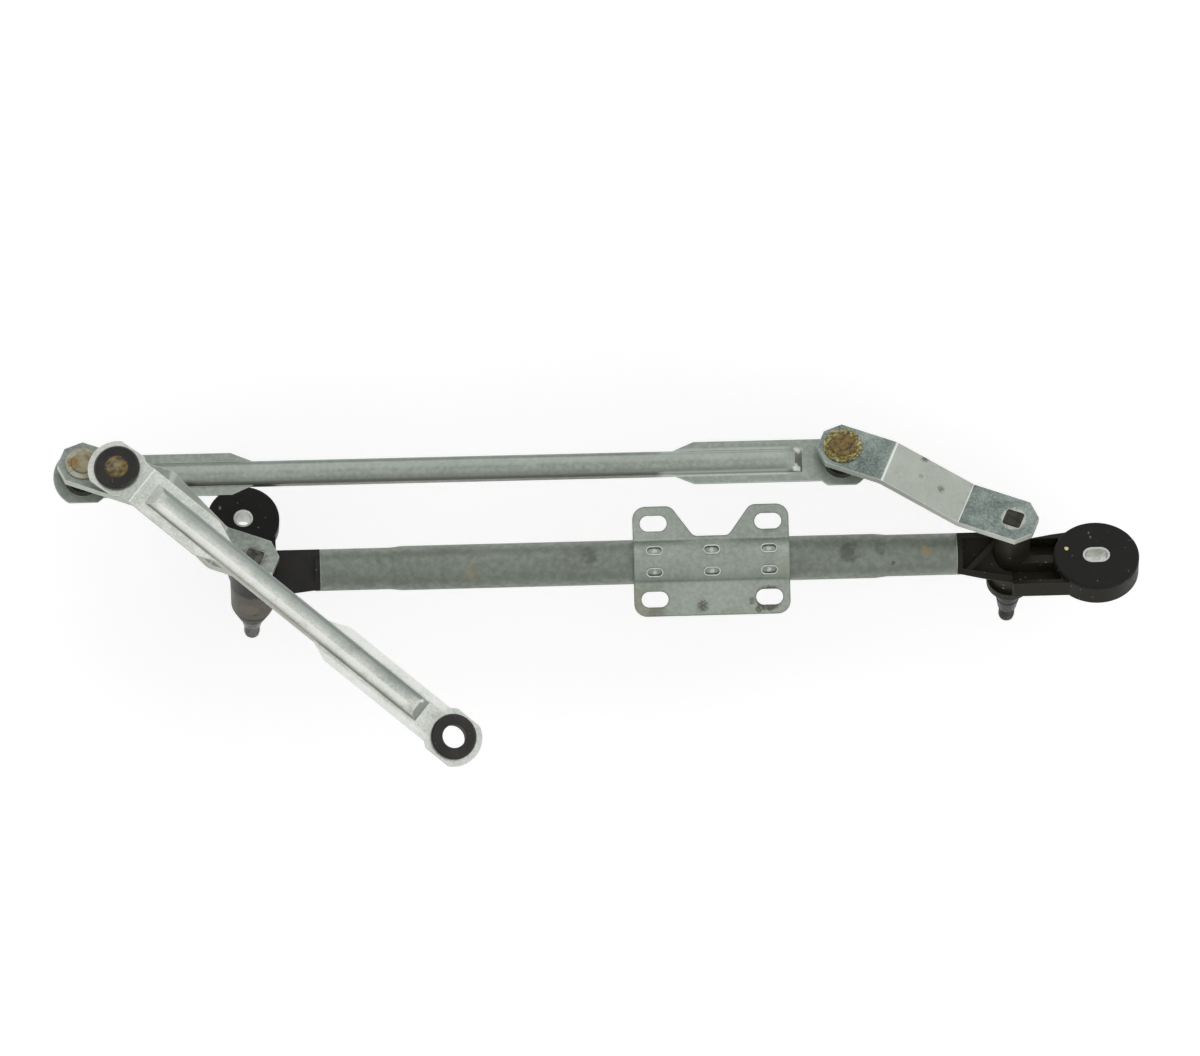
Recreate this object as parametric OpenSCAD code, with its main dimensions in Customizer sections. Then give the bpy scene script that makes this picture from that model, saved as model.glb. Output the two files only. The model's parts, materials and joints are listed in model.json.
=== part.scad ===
// Windscreen wiper linkage: a tube frame with two spindle housings, two bent levers,
// a link rod between the levers and a drive rod for the motor crank.
// Origin: centre of the motor plate's slot pattern, on the plate's top face.
// +X runs along the support tube, +Z is the plate's normal. Millimetres.

/* [Support tube] */
// Outside diameter of the tube
tube_d = 24; // [20:0.5:28]
// Wall of the tube
tube_wall = 1.5; // [1:0.1:2.5]
// How far the tube's ends are swaged in, on the radius
neck_step = 0.7; // [0.3:0.1:1.5]
// Length of each swaged end
neck_len = 38; // [30:1:60]
// Length of the taper from the end to the full tube
neck_taper = 6; // [3:1:12]
// Plate centre to the tube's left end
tube_left = 211.5; // [190:0.5:240]
// Plate centre to the tube's right end
tube_right = 133; // [120:0.5:160]

/* [Motor plate] */
// Length of the plate along the tube
plate_w = 84.5; // [80:0.5:100]
// Height of the plate across the tube
plate_h = 59.5; // [56:0.5:80]
// Sheet of the plate
sheet_t = 2; // [1.5:0.1:3]
// Corner radius of the plate's ears
plate_corner_r = 7; // [4:0.5:9]
// Plate's top face above the tube's axis
plate_rise = 8; // [6:0.5:9]
// Radius of the bends beside the saddle
saddle_bend_r = 2.5; // [1.5:0.5:4]
// Slot spacing along the tube
slot_pitch_x = 62; // [56:0.5:66]
// Slot spacing across the tube
slot_pitch_y = 41; // [40:0.5:44]
// Length of a slot
slot_len = 14.6; // [12:0.2:18]
// Width of a slot
slot_w = 8.4; // [6.4:0.2:9]
// Width of the notch at its floor
notch_floor_w = 19; // [12:1:22]
// Width of the notch at its mouth
notch_mouth_w = 43; // [30:1:44]
// Wing left between the notch and the saddle's bend
notch_land = 0.6; // [0.2:0.2:2]
// Spacing of the clinches along the tube
clinch_pitch = 31; // [24:1:34]
// Length of a clinch
clinch_len = 8.6; // [6:0.2:10]
// Width of a clinch
clinch_w = 4.8; // [3:0.2:6]
// Depth of a clinch
clinch_depth = 1.1; // [0.5:0.1:1.4]
// Angle of the clinches from the top of the saddle
clinch_angle = 25; // [15:1:30]

/* [Spindles] */
// Lean of both spindles from the plate's normal
spindle_tilt = 32; // [26:1:36]
// Diameter of a spindle in its bushes
spindle_d = 12; // [10:0.5:13]
// Diameter of the threaded end
thread_d = 8; // [6:0.5:8]
// Length of the threaded end
thread_len = 11.5; // [8:0.5:16]
// Length of the knurled cone above the thread
knurl_len = 9; // [5:0.5:12]
// Smallest diameter of the knurled cone
knurl_d = 9.6; // [8.4:0.2:9.8]
// Diameter of the collar under the lever
collar_d = 16; // [14.5:0.5:18]
// Thickness of the collar
collar_t = 1.5; // [1:0.1:3]
// Side of the square that drives the lever
square_side = 10; // [8:0.2:10.4]
// Corner radius of the square
square_r = 1.4; // [0.8:0.1:2]
// Tube's left end to the left spindle
left_reach = 36.1; // [30:0.1:44]
// Left spindle's lever face across from the tube's axis
left_hub_y = 7.9; // [4:0.1:10]
// Left spindle's lever face above the tube's axis
left_hub_rise = 20; // [19:0.5:24]
// Left lever face to the tip of the spindle
left_spindle_len = 77; // [72:1:90]
// Tube's right end to the right spindle
right_reach = 29.6; // [27:0.1:44]
// Right spindle's lever face across from the tube's axis
right_hub_y = 18.3; // [14:0.1:20]
// Right spindle's lever face above the tube's axis
right_hub_rise = 28.5; // [24:0.5:34]
// Right lever face to the tip of the spindle
right_spindle_len = 99; // [94:1:112]

/* [Levers] */
// Width of a lever
lever_w = 26; // [22:0.5:30]
// Sheet of a lever
lever_t = 4; // [3:0.5:5]
// Inside radius of a lever's bends
lever_bend_r = 3; // [2:0.5:5]
// Hub or stud to the lever's end
lever_tail = 12.8; // [11:0.1:15]
// Corner cut of a lever's ends
lever_chamfer = 7.6; // [4:0.2:9]
// Spindle to link rod stud on both levers
lever_reach = 98.5; // [94:0.1:106]
// Angle of the levers from the tube, at rest
lever_angle = 157.4; // [154:0.1:162]
// Height of the left lever's raised end
left_rise = 38.5; // [34:0.5:40]
// Left lever's lower bend from its spindle
left_foot = 20; // [18:0.5:22]
// Left lever's upper bend from its spindle
left_crest = 51; // [46:0.5:54]
// Drive stud back from the link rod stud on the left lever
stud_pitch = 21.3; // [19:0.1:24]
// Drive stud beside the left lever's middle line
stud_side = 4; // [0:0.5:5]
// Height of the right lever's raised end
right_rise = 17.5; // [15:0.5:24]
// Right lever's lower bend from its spindle
right_foot = 27; // [22:0.5:32]
// Right lever's upper bend from its spindle
right_crest = 72; // [66:0.5:78]

/* [Ball studs and sockets] */
// Diameter of the balls
ball_d = 16; // [14:0.5:17]
// Link rod ball below its lever's top face
link_drop = 13; // [12.6:0.1:17]
// Drive rod ball above its lever's top face
drive_lift = 12; // [11:0.1:14]
// Diameter of a stud's neck
neck_stud_d = 8.4; // [7:0.2:9]
// Diameter of a stud's riveted shank
shank_d = 8; // [6:0.2:9]
// Diameter of a stud's rivet head
rivet_d = 15; // [12:0.5:16]
// Height of a stud's rivet head
rivet_h = 1.6; // [1:0.1:2.4]
// Diameter of a socket's flange
socket_d = 24.8; // [24:0.2:26]
// Thickness of a socket's flange
socket_flange_t = 2.6; // [2:0.1:3]
// Diameter of a socket where it passes the rod
socket_waist_d = 21; // [20:0.2:22]
// Diameter of the hole over the ball
throat_d = 12.4; // [11:0.2:13]

/* [Rods] */
// Sheet of the rods
rod_t = 2; // [1.5:0.1:2.4]
// Width of a rod's channel
channel_w = 13; // [11:0.5:15]
// Depth of a rod's channel below its flanges
channel_depth = 3.4; // [2:0.2:5]
// Height of the bead above a rod's flanges
bead_h = 3.4; // [2.4:0.2:4]
// Width of a rod's flared ends
flare_w = 23; // [20:0.5:25]
// Width of the eye round a socket
eye_w = 27.8; // [27:0.2:32]
// Socket centre to the end of the rod
eye_r = 15.9; // [15:0.1:18]
// Socket centre to the start of the bead
bead_start = 19; // [18:0.5:24]
// Link rod's socket to the end of its flare
link_flare = 80; // [70:1:90]
// Length over which a flare narrows to the channel
flare_taper = 12; // [8:1:16]
// Lean of the link rod's face from the plate's normal
link_roll = 12; // [8:1:18]
// Drive rod's length between its sockets, seen from above
drive_len = 230.5; // [220:0.5:240]
// Drive rod's heading from the tube's axis
drive_heading = -40.4; // [-46:0.1:-36]
// Drive rod's roll about its own length
drive_roll = 12; // [6:1:14]
// Bend of the drive rod's upper end
drive_bend = 20; // [16:1:24]
// Socket centre to the drive rod's bend
drive_bend_at = 16.5; // [16:0.5:18]
// Drive rod's upper socket to the end of its flare
drive_upper_flare = 60; // [54:1:70]
// Drive rod's free socket to the end of its flare
drive_free_flare = 80; // [70:1:90]

/* [Ears and housings] */
// Left ear's centre from the left spindle, along the tube
left_ear_x = -4.1; // [-12:0.1:0]
// Left ear's centre across from the tube's axis
left_ear_y = 29.1; // [28:0.1:34]
// Left ear's face below the tube's axis
left_ear_drop = 12; // [10:0.5:16]
// Lean of the left ear
left_ear_tilt = 27; // [22:1:32]
// Radius of the left ear
left_ear_r = 19.6; // [18:0.1:20]
// Right ear's centre from the right spindle, along the tube
right_ear_x = 45.9; // [40:0.1:52]
// Right ear's centre across from the tube's axis
right_ear_y = -2.3; // [-6:0.1:2]
// Right ear's face above the tube's axis
right_ear_rise = 6; // [3:0.5:8]
// Lean of the right ear
right_ear_tilt = 40; // [34:1:44]
// Radius of the right ear
right_ear_r = 23.2; // [21:0.1:25]
// Ring of plastic round each grommet
ear_ring = 6; // [4:0.5:7]
// Height of the left ear's plastic ring
left_ring_h = 7; // [5:0.5:9]
// Height of the right ear's plastic ring
right_ring_h = 10.4; // [6:0.2:12]
// Thickness of a grommet's lips
grommet_lip = 2.6; // [2:0.1:4]
// Bore of the sleeves
sleeve_bore = 8.2; // [6.4:0.2:8.6]
// Wall of the sleeves
sleeve_wall = 1.1; // [0.8:0.1:1.6]
// Length of the right sleeve's oval bore
sleeve_slot = 12.4; // [10:0.2:14]
// Radius of the left barrel at its top
left_barrel_r = 13; // [12:0.1:14]
// Radius of the left barrel at its foot
left_barrel_foot_r = 11.6; // [10.4:0.1:12]
// Left lever face to the foot of the left barrel
left_barrel_end = 46; // [36:0.5:50]
// Radius of the right barrel
right_barrel_r = 10; // [10:0.1:11.5]
// How far the rim at the right barrel's foot stands out
right_rim = 2.2; // [1:0.1:3]
// Height of the rim at the right barrel's foot
right_rim_h = 5; // [3:0.5:8]
// Right lever face to the foot of the right barrel
right_barrel_end = 64; // [60:0.5:70]
// Wall of the bushes
bush_wall = 2; // [1.2:0.1:2.2]
// Length of a bush
bush_len = 12; // [8:0.5:14]
// Wall of the housings' trays and ribs
rib_t = 2.6; // [1.8:0.1:3.4]
// Half of the height of the housings' trays
tray_half = 8; // [6:0.5:9]
// Length of a spigot in the tube
spigot_len = 28; // [20:1:30]
// Wall of a spigot
spigot_wall = 3; // [2:0.1:4]
// Height of the left seal cap
left_cap_h = 10.5; // [5:0.5:12]
// Height of the right seal cap
right_cap_h = 3.6; // [3.4:0.1:6]
// Thickness of the thrust washers
washer_t = 1; // [0.6:0.1:1.6]
// Thickness of the circlips
circlip_t = 1; // [0.8:0.1:1.2]
// How far a circlip stands out of its groove
circlip_stand = 2; // [1.2:0.1:2.2]

/* [Clearances] */
// Running gap of a spindle in its bushes, on the radius
run_gap = 0.05; // [0.02:0.01:0.08]
// Running gap of a ball in its socket, on the radius
ball_gap = 0.05; // [0.02:0.01:0.08]
// Gap of pieces that are pressed or seated, on the radius
seat_gap = 0.04; // [0.02:0.01:0.08]
// End play of a spindle in its housing
end_play = 0.3; // [0.2:0.05:0.5]
// Free room round turning pieces
free_gap = 0.6; // [0.4:0.1:1]

/* [Hidden] */
$fn = 64;
arc_steps = 8;
over = 1;
tube_r = tube_d / 2;
neck_r = tube_r - neck_step;
tube_z = -plate_rise;
spindle_r = spindle_d / 2;
thread_r = thread_d / 2;
ball_r = ball_d / 2;
saddle_r = tube_r + seat_gap + sheet_t;
left_hub = [-tube_left - left_reach, left_hub_y, tube_z + left_hub_rise];
right_hub = [tube_right + right_reach, right_hub_y, tube_z + right_hub_rise];
left_ear = [left_hub[0] + left_ear_x, left_ear_y, tube_z - left_ear_drop];
right_ear = [right_hub[0] + right_ear_x, right_ear_y, tube_z + right_ear_rise];
barrel_top = -lever_t - collar_t - washer_t - end_play;
bush_r = spindle_r + run_gap + bush_wall;
bore_r = spindle_r + free_gap;
groove_r = spindle_r - circlip_stand / 2;
circlip_r = spindle_r + circlip_stand;
left_grommet_h = left_ring_h + 2 * grommet_lip;
right_grommet_h = right_ring_h + 2 * grommet_lip;
axis_n = [0, sin(spindle_tilt), cos(spindle_tilt)];
lever_dir = [cos(lever_angle), sin(lever_angle) * cos(spindle_tilt), -sin(lever_angle) * sin(spindle_tilt)];
link_left = left_hub + lever_reach * lever_dir + (left_rise - link_drop) * axis_n;
link_right = right_hub + lever_reach * lever_dir + (right_rise - link_drop) * axis_n;
link_len = norm(link_right - link_left);
link_yaw = atan2(link_right[1] - link_left[1], link_right[0] - link_left[0]);
link_pitch = -asin((link_right[2] - link_left[2]) / link_len);
turn_y = cos(lever_angle);
lever_across = [-sin(lever_angle), turn_y * cos(spindle_tilt), -turn_y * sin(spindle_tilt)];
drive_reach = lever_reach - stud_pitch;
drive_foot = left_hub + drive_reach * lever_dir + stud_side * lever_across;
drive_ball = drive_foot + (left_rise + drive_lift) * axis_n;
plate_top = ball_r * 0.3;
flange_top = plate_top + socket_flange_t;
socket_foot = -ball_r * 0.55;
bend_up = drive_bend_at * sin(drive_bend);
bend_run = drive_bend_at * cos(drive_bend);

// Unit vector along v
function unit(v) = v / norm(v);

// List in reverse order
function reversed(v) = [for (i = [len(v) - 1 : -1 : 0]) v[i]];

// Points of an arc about a centre
function arc(centre, r, first, last) =
    [for (i = [0 : arc_steps])
        let (a = first + (last - first) * i / arc_steps) centre + r * [cos(a), sin(a)]];

// Arc that rounds the corner between two straight edges
function rounded_corner(before, at, after, r) =
    let (u = unit(before - at), w = unit(after - at), half = acos(u * w) / 2)
    let (centre = at + unit(u + w) * r / sin(half), start = at + u * r / tan(half) - centre)
    let (first = atan2(start[1], start[0]), side = u[0] * w[1] - u[1] * w[0] > 0 ? -1 : 1)
    arc(centre, r, first, first + side * (180 - 2 * half));

// Outline of corners [x, y, radius]
function rounded(corners) =
    let (n = len(corners), flat = [for (c = corners) [c[0], c[1]]])
    [for (i = [0 : n - 1])
        each corners[i][2] == 0
            ? [flat[i]]
            : rounded_corner(flat[(i + n - 1) % n], flat[i], flat[(i + 1) % n], corners[i][2])];

// Places children in a spindle's frame: lever face at zero, axis along Z
module on_left_spindle() {
    translate(left_hub) rotate([-spindle_tilt, 0, 0]) children();
}

module on_right_spindle() {
    translate(right_hub) rotate([-spindle_tilt, 0, 0]) children();
}

// Turns a spindle's frame so that X runs along its lever
module along_lever() {
    rotate([0, 0, lever_angle]) children();
}

module on_left_ear() {
    translate(left_ear) rotate([-left_ear_tilt, 0, 0]) children();
}

module on_right_ear() {
    translate(right_ear) rotate([-right_ear_tilt, 0, 0]) children();
}

// Link rod's frame: origin at the left ball, X along the rod
module on_link_rod() {
    translate(link_left) rotate([0, link_pitch, link_yaw]) rotate([-link_roll, 0, 0]) children();
}

// Drive rod's frame: origin at the upper ball, X along the rod
module on_drive_rod() {
    translate(drive_ball) rotate([0, 0, drive_heading]) rotate([-drive_roll, 0, 0]) children();
}

// Frame of the drive rod's bent upper end, at the upper ball
module on_drive_eye() {
    on_drive_rod() rotate([0, -drive_bend, 0]) children();
}

module slot_2d(length, width) {
    square([length - width, width], center = true);
    for (side = [-1, 1])
        translate([side * (length - width) / 2, 0]) circle(d = width);
}

module ring(outer, inner, height) {
    difference() {
        cylinder(r = outer, h = height);
        translate([0, 0, -over]) cylinder(r = inner, h = height + 2 * over);
    }
}

// Half section of the tube's wall, inset from the outside
function tube_line(inset) = [
    [neck_r - inset, -tube_left],
    [neck_r - inset, neck_len - tube_left],
    [tube_r - inset, neck_len + neck_taper - tube_left],
    [tube_r - inset, tube_right - neck_len - neck_taper],
    [neck_r - inset, tube_right - neck_len],
    [neck_r - inset, tube_right]
];

module support_tube() {
    color("lightslategray")
    translate([0, 0, tube_z]) rotate([0, 90, 0]) rotate_extrude()
        polygon(concat(tube_line(0), reversed(tube_line(tube_wall))));
}

// One face of the plate's section: wing, bend, saddle, bend, wing
saddle_rise = saddle_bend_r + plate_rise;
saddle_side = sqrt(pow(saddle_r + saddle_bend_r, 2) - pow(saddle_rise, 2));
saddle_turn = atan2(saddle_rise, saddle_side);
function saddle_line(inset) = concat(
    [[plate_h, -inset]],
    arc([saddle_side, saddle_bend_r], saddle_bend_r + inset, 270, 180 + saddle_turn),
    arc([0, tube_z], saddle_r - inset, saddle_turn, 90),
    arc([0, tube_z], saddle_r - inset, 90, 180 - saddle_turn),
    arc([-saddle_side, saddle_bend_r], saddle_bend_r + inset, 360 - saddle_turn, 270),
    [[-plate_h, -inset]]
);

module plate_outline() {
    notch_floor_y = saddle_side + notch_land;
    polygon(rounded([
        [-plate_w / 2, -plate_h / 2, plate_corner_r],
        [plate_w / 2, -plate_h / 2, plate_corner_r],
        [plate_w / 2, plate_h / 2, plate_corner_r],
        [notch_mouth_w / 2, plate_h / 2, plate_corner_r * 0.8],
        [notch_floor_w / 2, notch_floor_y, plate_corner_r * 0.6],
        [-notch_floor_w / 2, notch_floor_y, plate_corner_r * 0.6],
        [-notch_mouth_w / 2, plate_h / 2, plate_corner_r * 0.8],
        [-plate_w / 2, plate_h / 2, plate_corner_r]
    ]));
}

module motor_plate() {
    color("silver")
    difference() {
        intersection() {
            translate([-plate_w, 0, 0]) rotate([90, 0, 90]) linear_extrude(2 * plate_w)
                polygon(concat(saddle_line(0), reversed(saddle_line(sheet_t))));
            translate([0, 0, tube_z]) linear_extrude(4 * tube_r) plate_outline();
        }
        for (x = [-1, 1], y = [-1, 1])
            translate([x * slot_pitch_x / 2, y * slot_pitch_y / 2, -2 * sheet_t])
                linear_extrude(4 * sheet_t) slot_2d(slot_len, slot_w);
        for (x = [-1, 0, 1], side = [-1, 1])
            translate([x * clinch_pitch, 0, tube_z]) rotate([side * clinch_angle, 0, 0])
                translate([0, 0, saddle_r - clinch_depth])
                    linear_extrude(4 * clinch_depth) slot_2d(clinch_len, clinch_w);
    }
}

// Side view of a lever: hub flat, ramp and raised flat of one sheet
module lever_side(rise, foot, crest) {
    ramp = atan2(rise, crest - foot);
    shift = lever_t * tan(ramp / 2);
    head = lever_reach + lever_tail + over;
    tail = -lever_tail - over;
    polygon(rounded([
        [tail, 0, 0],
        [tail, -lever_t, 0],
        [foot + shift, -lever_t, lever_bend_r + lever_t],
        [crest + shift, rise - lever_t, lever_bend_r],
        [head, rise - lever_t, 0],
        [head, rise, 0],
        [crest, rise, lever_bend_r + lever_t],
        [foot, 0, lever_bend_r]
    ]));
}

module lever_outline() {
    head = lever_reach + lever_tail;
    half = lever_w / 2;
    cut = lever_chamfer;
    polygon([
        [-lever_tail, cut - half], [cut - lever_tail, -half], [head - cut, -half], [head, cut - half],
        [head, half - cut], [head - cut, half], [cut - lever_tail, half], [-lever_tail, half - cut]
    ]);
}

// Square of a spindle's head, grown by a gap
module drive_square(gap) {
    half = square_side / 2 + gap;
    polygon(rounded([[half, half, square_r], [-half, half, square_r],
        [-half, -half, square_r], [half, -half, square_r]]));
}

module lever(rise, foot, crest, studs) {
    difference() {
        intersection() {
            translate([0, lever_w, 0]) rotate([90, 0, 0]) linear_extrude(2 * lever_w)
                lever_side(rise, foot, crest);
            translate([0, 0, -2 * lever_t]) linear_extrude(rise + 4 * lever_t) lever_outline();
        }
        translate([0, 0, -2 * lever_t]) linear_extrude(3 * lever_t) drive_square(seat_gap);
        for (stud = studs)
            translate([stud[0], stud[1], rise - 2 * lever_t])
                cylinder(d = shank_d + 2 * seat_gap, h = 3 * lever_t);
    }
}

module left_lever() {
    color("gainsboro")
    on_left_spindle() along_lever()
        lever(left_rise, left_foot, left_crest, [[lever_reach, 0], [drive_reach, stud_side]]);
}

module right_lever() {
    color("lightsteelblue")
    on_right_spindle() along_lever() lever(right_rise, right_foot, right_crest, [[lever_reach, 0]]);
}

// Square head, collar, journal with circlip groove, knurled cone and threaded end
module spindle(barrel_end, length) {
    groove = -barrel_end - end_play;
    knurl = thread_len - length + knurl_len;
    thread = thread_len - length;
    tip = thread_r / 4;
    translate([0, 0, -lever_t]) linear_extrude(lever_t - end_play) drive_square(0);
    rotate_extrude() polygon([
        [0, -lever_t], [collar_d / 2, -lever_t], [collar_d / 2, -lever_t - collar_t],
        [spindle_r, -lever_t - collar_t], [spindle_r, groove], [groove_r, groove],
        [groove_r, groove - circlip_t], [spindle_r, groove - circlip_t], [spindle_r, knurl],
        [knurl_d / 2, thread], [thread_r, thread], [thread_r, tip - length], [thread_r - tip, -length],
        [0, -length]
    ]);
}

module left_spindle() {
    color("dimgray") on_left_spindle() along_lever() spindle(left_barrel_end, left_spindle_len);
}

module right_spindle() {
    color("dimgray") on_right_spindle() along_lever() spindle(right_barrel_end, right_spindle_len);
}

module thrust_washer() {
    translate([0, 0, -lever_t - collar_t - washer_t])
        ring(collar_d / 2 + washer_t, spindle_r + seat_gap, washer_t);
}

module left_thrust_washer() {
    color("tan") on_left_spindle() thrust_washer();
}

module right_thrust_washer() {
    color("tan") on_right_spindle() thrust_washer();
}

// Open ring that sits in the spindle's groove
module circlip(barrel_end) {
    translate([0, 0, -barrel_end - end_play - circlip_t]) difference() {
        ring(circlip_r, groove_r + seat_gap, circlip_t);
        translate([0, -groove_r / 2, -over]) cube([2 * circlip_r, groove_r, circlip_t + 2 * over]);
    }
}

module left_circlip() {
    color("darkgray") on_left_spindle() circlip(left_barrel_end);
}

module right_circlip() {
    color("darkgray") on_right_spindle() circlip(right_barrel_end);
}

// Cup that covers the circlip under a barrel
module seal_cap(barrel_end, barrel_r, height) {
    lip = spindle_r + free_gap;
    room = circlip_r + free_gap;
    depth = end_play + circlip_t + free_gap;
    translate([0, 0, -barrel_end]) rotate_extrude() polygon([
        [room, 0], [barrel_r - free_gap, 0], [barrel_r - free_gap, -depth], [lip + rib_t / 2, -height],
        [lip, -height], [lip, -depth], [room, -depth]
    ]);
}

module left_seal_cap() {
    color("#202020") on_left_spindle() seal_cap(left_barrel_end, left_barrel_foot_r, left_cap_h);
}

module right_seal_cap() {
    color("#202020") on_right_spindle() seal_cap(right_barrel_end, right_barrel_r, right_cap_h);
}

module bush(level) {
    translate([0, 0, level]) ring(bush_r - seat_gap, spindle_r + run_gap, bush_len);
}

module left_upper_bush() {
    color("peru") on_left_spindle() bush(barrel_top - bush_len);
}

module left_lower_bush() {
    color("peru") on_left_spindle() bush(-left_barrel_end);
}

module right_upper_bush() {
    color("peru") on_right_spindle() bush(barrel_top - bush_len);
}

module right_lower_bush() {
    color("peru") on_right_spindle() bush(-right_barrel_end);
}

// Ball, neck and shoulder on one side of a lever, rivet head on the other
module ball_stud(reach) {
    shoulder_r = (shank_d + ball_d) / 4;
    shoulder_t = shank_d / 6;
    rotate_extrude() polygon([
        [0, reach], [neck_stud_d / 2, reach], [neck_stud_d / 2, shoulder_t], [shoulder_r, shoulder_t],
        [shoulder_r, 0], [shank_d / 2, 0], [shank_d / 2, -lever_t], [rivet_d / 2, -lever_t],
        [rivet_d / 2, -lever_t - rivet_h / 2], [rivet_d / 3, -lever_t - rivet_h], [0, -lever_t - rivet_h]
    ]);
    translate([0, 0, reach]) sphere(r = ball_r);
}

module rod_stud(rise) {
    translate([lever_reach, 0, rise - lever_t]) rotate([180, 0, 0]) ball_stud(link_drop - lever_t);
}

module left_rod_stud() {
    color("darkgoldenrod") on_left_spindle() along_lever() rod_stud(left_rise);
}

module right_rod_stud() {
    color("darkgoldenrod") on_right_spindle() along_lever() rod_stud(right_rise);
}

module left_drive_stud() {
    color("darkgoldenrod")
    on_left_spindle() along_lever() translate([drive_reach, stud_side, left_rise]) ball_stud(drive_lift);
}

// Socket round a ball, flange towards +Z, open on both sides of the ball
module socket() {
    cavity_r = ball_r + ball_gap;
    waist_r = socket_waist_d / 2 - seat_gap;
    foot_r = waist_r - rod_t / 2;
    mouth_r = sqrt(cavity_r * cavity_r - socket_foot * socket_foot);
    difference() {
        rotate_extrude() polygon([
            [0, socket_foot], [foot_r, socket_foot], [waist_r, plate_top - rod_t], [waist_r, plate_top],
            [socket_d / 2, plate_top], [socket_d / 2, flange_top - socket_flange_t / 3],
            [socket_d / 2 - socket_flange_t / 3, flange_top], [0, flange_top]
        ]);
        sphere(r = cavity_r);
        cylinder(d = throat_d, h = 2 * ball_d);
        translate([0, 0, socket_foot - over]) cylinder(r1 = mouth_r + 2 * over, r2 = mouth_r, h = 2 * over);
    }
}

module link_rod_left_socket() {
    color("#1c1c1c") on_link_rod() rotate([180, 0, 0]) socket();
}

module link_rod_right_socket() {
    color("#1c1c1c") on_link_rod() translate([link_len, 0, 0]) rotate([180, 0, 0]) socket();
}

module drive_rod_upper_socket() {
    color("#1c1c1c") on_drive_eye() socket();
}

module drive_rod_free_socket() {
    color("#1c1c1c") on_drive_rod() translate([drive_len, 0, bend_up]) socket();
}

// Eye of a rod, round a socket
module eye_2d() {
    intersection() {
        circle(r = eye_r);
        square([2 * eye_r, eye_w], center = true);
    }
}

// Neck that narrows from an eye to just inside the flare
module eye_neck(length) {
    near = eye_w / 2;
    far = (flare_w - rod_t) / 2;
    polygon([[0, -near], [length, -far], [length, far], [0, near]]);
}

// Plan of a rod between its sockets: flare, channel, flare
module rod_plan(length, start, flare_a, flare_b) {
    flare = flare_w / 2;
    half = channel_w / 2;
    narrow_a = flare_a + flare_taper;
    narrow_b = length - flare_b - flare_taper;
    polygon([
        [start, -flare], [flare_a, -flare], [narrow_a, -half], [narrow_b, -half], [length - flare_b, -flare],
        [length, -flare], [length, flare], [length - flare_b, flare], [narrow_b, half], [narrow_a, half],
        [flare_a, flare], [start, flare]
    ]);
}

// Channel and bead of a rod, inset by the sheet for the hollow below
module rod_channel(length, start, flare_a, flare_b, inset) {
    low = -rod_t - channel_depth - inset;
    foot = inset == 0 ? -rod_t : low;
    top = bead_h - inset;
    half = channel_w / 2 - inset;
    ramp = 2 * bead_h;
    intersection() {
        rotate([90, 0, 90]) linear_extrude(length)
            polygon(rounded([[half, low, 0], [half, top, bead_h - inset / 2],
                [-half, top, bead_h - inset / 2], [-half, low, 0]]));
        translate([0, channel_w, 0]) rotate([90, 0, 0]) linear_extrude(2 * channel_w) polygon([
            [start + inset, foot], [start + ramp + inset, top], [length - bead_start - ramp - inset, top],
            [length - bead_start - inset, foot], [length - flare_b, foot],
            [length - flare_b - flare_taper, low], [flare_a + flare_taper, low], [flare_a, foot]
        ]);
    }
}

// One pressed strip: flat flares, raised bead and folded channel
module link_rod() {
    color("silver")
    on_link_rod() translate([0, 0, rod_t - plate_top]) difference() {
        union() {
            translate([0, 0, -rod_t]) linear_extrude(rod_t) {
                rod_plan(link_len, 0, link_flare, link_flare);
                for (x = [0, link_len])
                    translate([x, 0]) eye_2d();
            }
            rod_channel(link_len, bead_start, link_flare, link_flare, 0);
        }
        rod_channel(link_len, bead_start, link_flare, link_flare, rod_t);
        for (x = [0, link_len])
            translate([x, 0, -2 * rod_t]) cylinder(d = socket_waist_d, h = 4 * rod_t);
    }
}

// Side view of the drive rod's sheet, bent down at its upper end. Flange tops lie at zero.
module drive_side() {
    shift = rod_t * tan(drive_bend / 2);
    along = [cos(drive_bend), sin(drive_bend)];
    face = [-sin(drive_bend), cos(drive_bend)];
    far = drive_len + 2 * eye_r;
    crest = [drive_bend_at * along[0] - plate_top * tan(drive_bend / 2), 0];
    end = crest - (drive_bend_at + 2 * eye_r) * along;
    foot = end - rod_t * face;
    polygon(rounded([
        [end[0], end[1], 0],
        [foot[0], foot[1], 0],
        [crest[0] + shift, -rod_t, rod_t],
        [far, -rod_t, 0],
        [far, 0, 0],
        [crest[0], 0, 2 * rod_t]
    ]));
}

module drive_rod() {
    bead_from = bend_run + 2 * rod_t;
    color("gainsboro")
    difference() {
        union() {
            intersection() {
                on_drive_rod() translate([0, eye_w, bend_up + plate_top]) rotate([90, 0, 0])
                    linear_extrude(2 * eye_w) drive_side();
                union() {
                    on_drive_rod() translate([0, 0, -eye_r]) linear_extrude(3 * eye_r) {
                        rod_plan(drive_len, bend_run - rod_t, drive_upper_flare, drive_free_flare);
                        translate([drive_len, 0]) eye_2d();
                    }
                    on_drive_eye() translate([0, 0, -eye_r]) linear_extrude(2 * eye_r) {
                        eye_2d();
                        eye_neck(drive_bend_at + 2 * rod_t);
                    }
                }
            }
            on_drive_rod() translate([0, 0, bend_up + plate_top])
                rod_channel(drive_len, bead_from, drive_upper_flare, drive_free_flare, 0);
        }
        on_drive_rod() translate([0, 0, bend_up + plate_top])
            rod_channel(drive_len, bead_from, drive_upper_flare, drive_free_flare, rod_t);
        on_drive_eye() cylinder(d = socket_waist_d, h = 4 * rod_t, center = true);
        on_drive_rod() translate([drive_len, 0, bend_up])
            cylinder(d = socket_waist_d, h = 4 * rod_t, center = true);
    }
}

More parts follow.
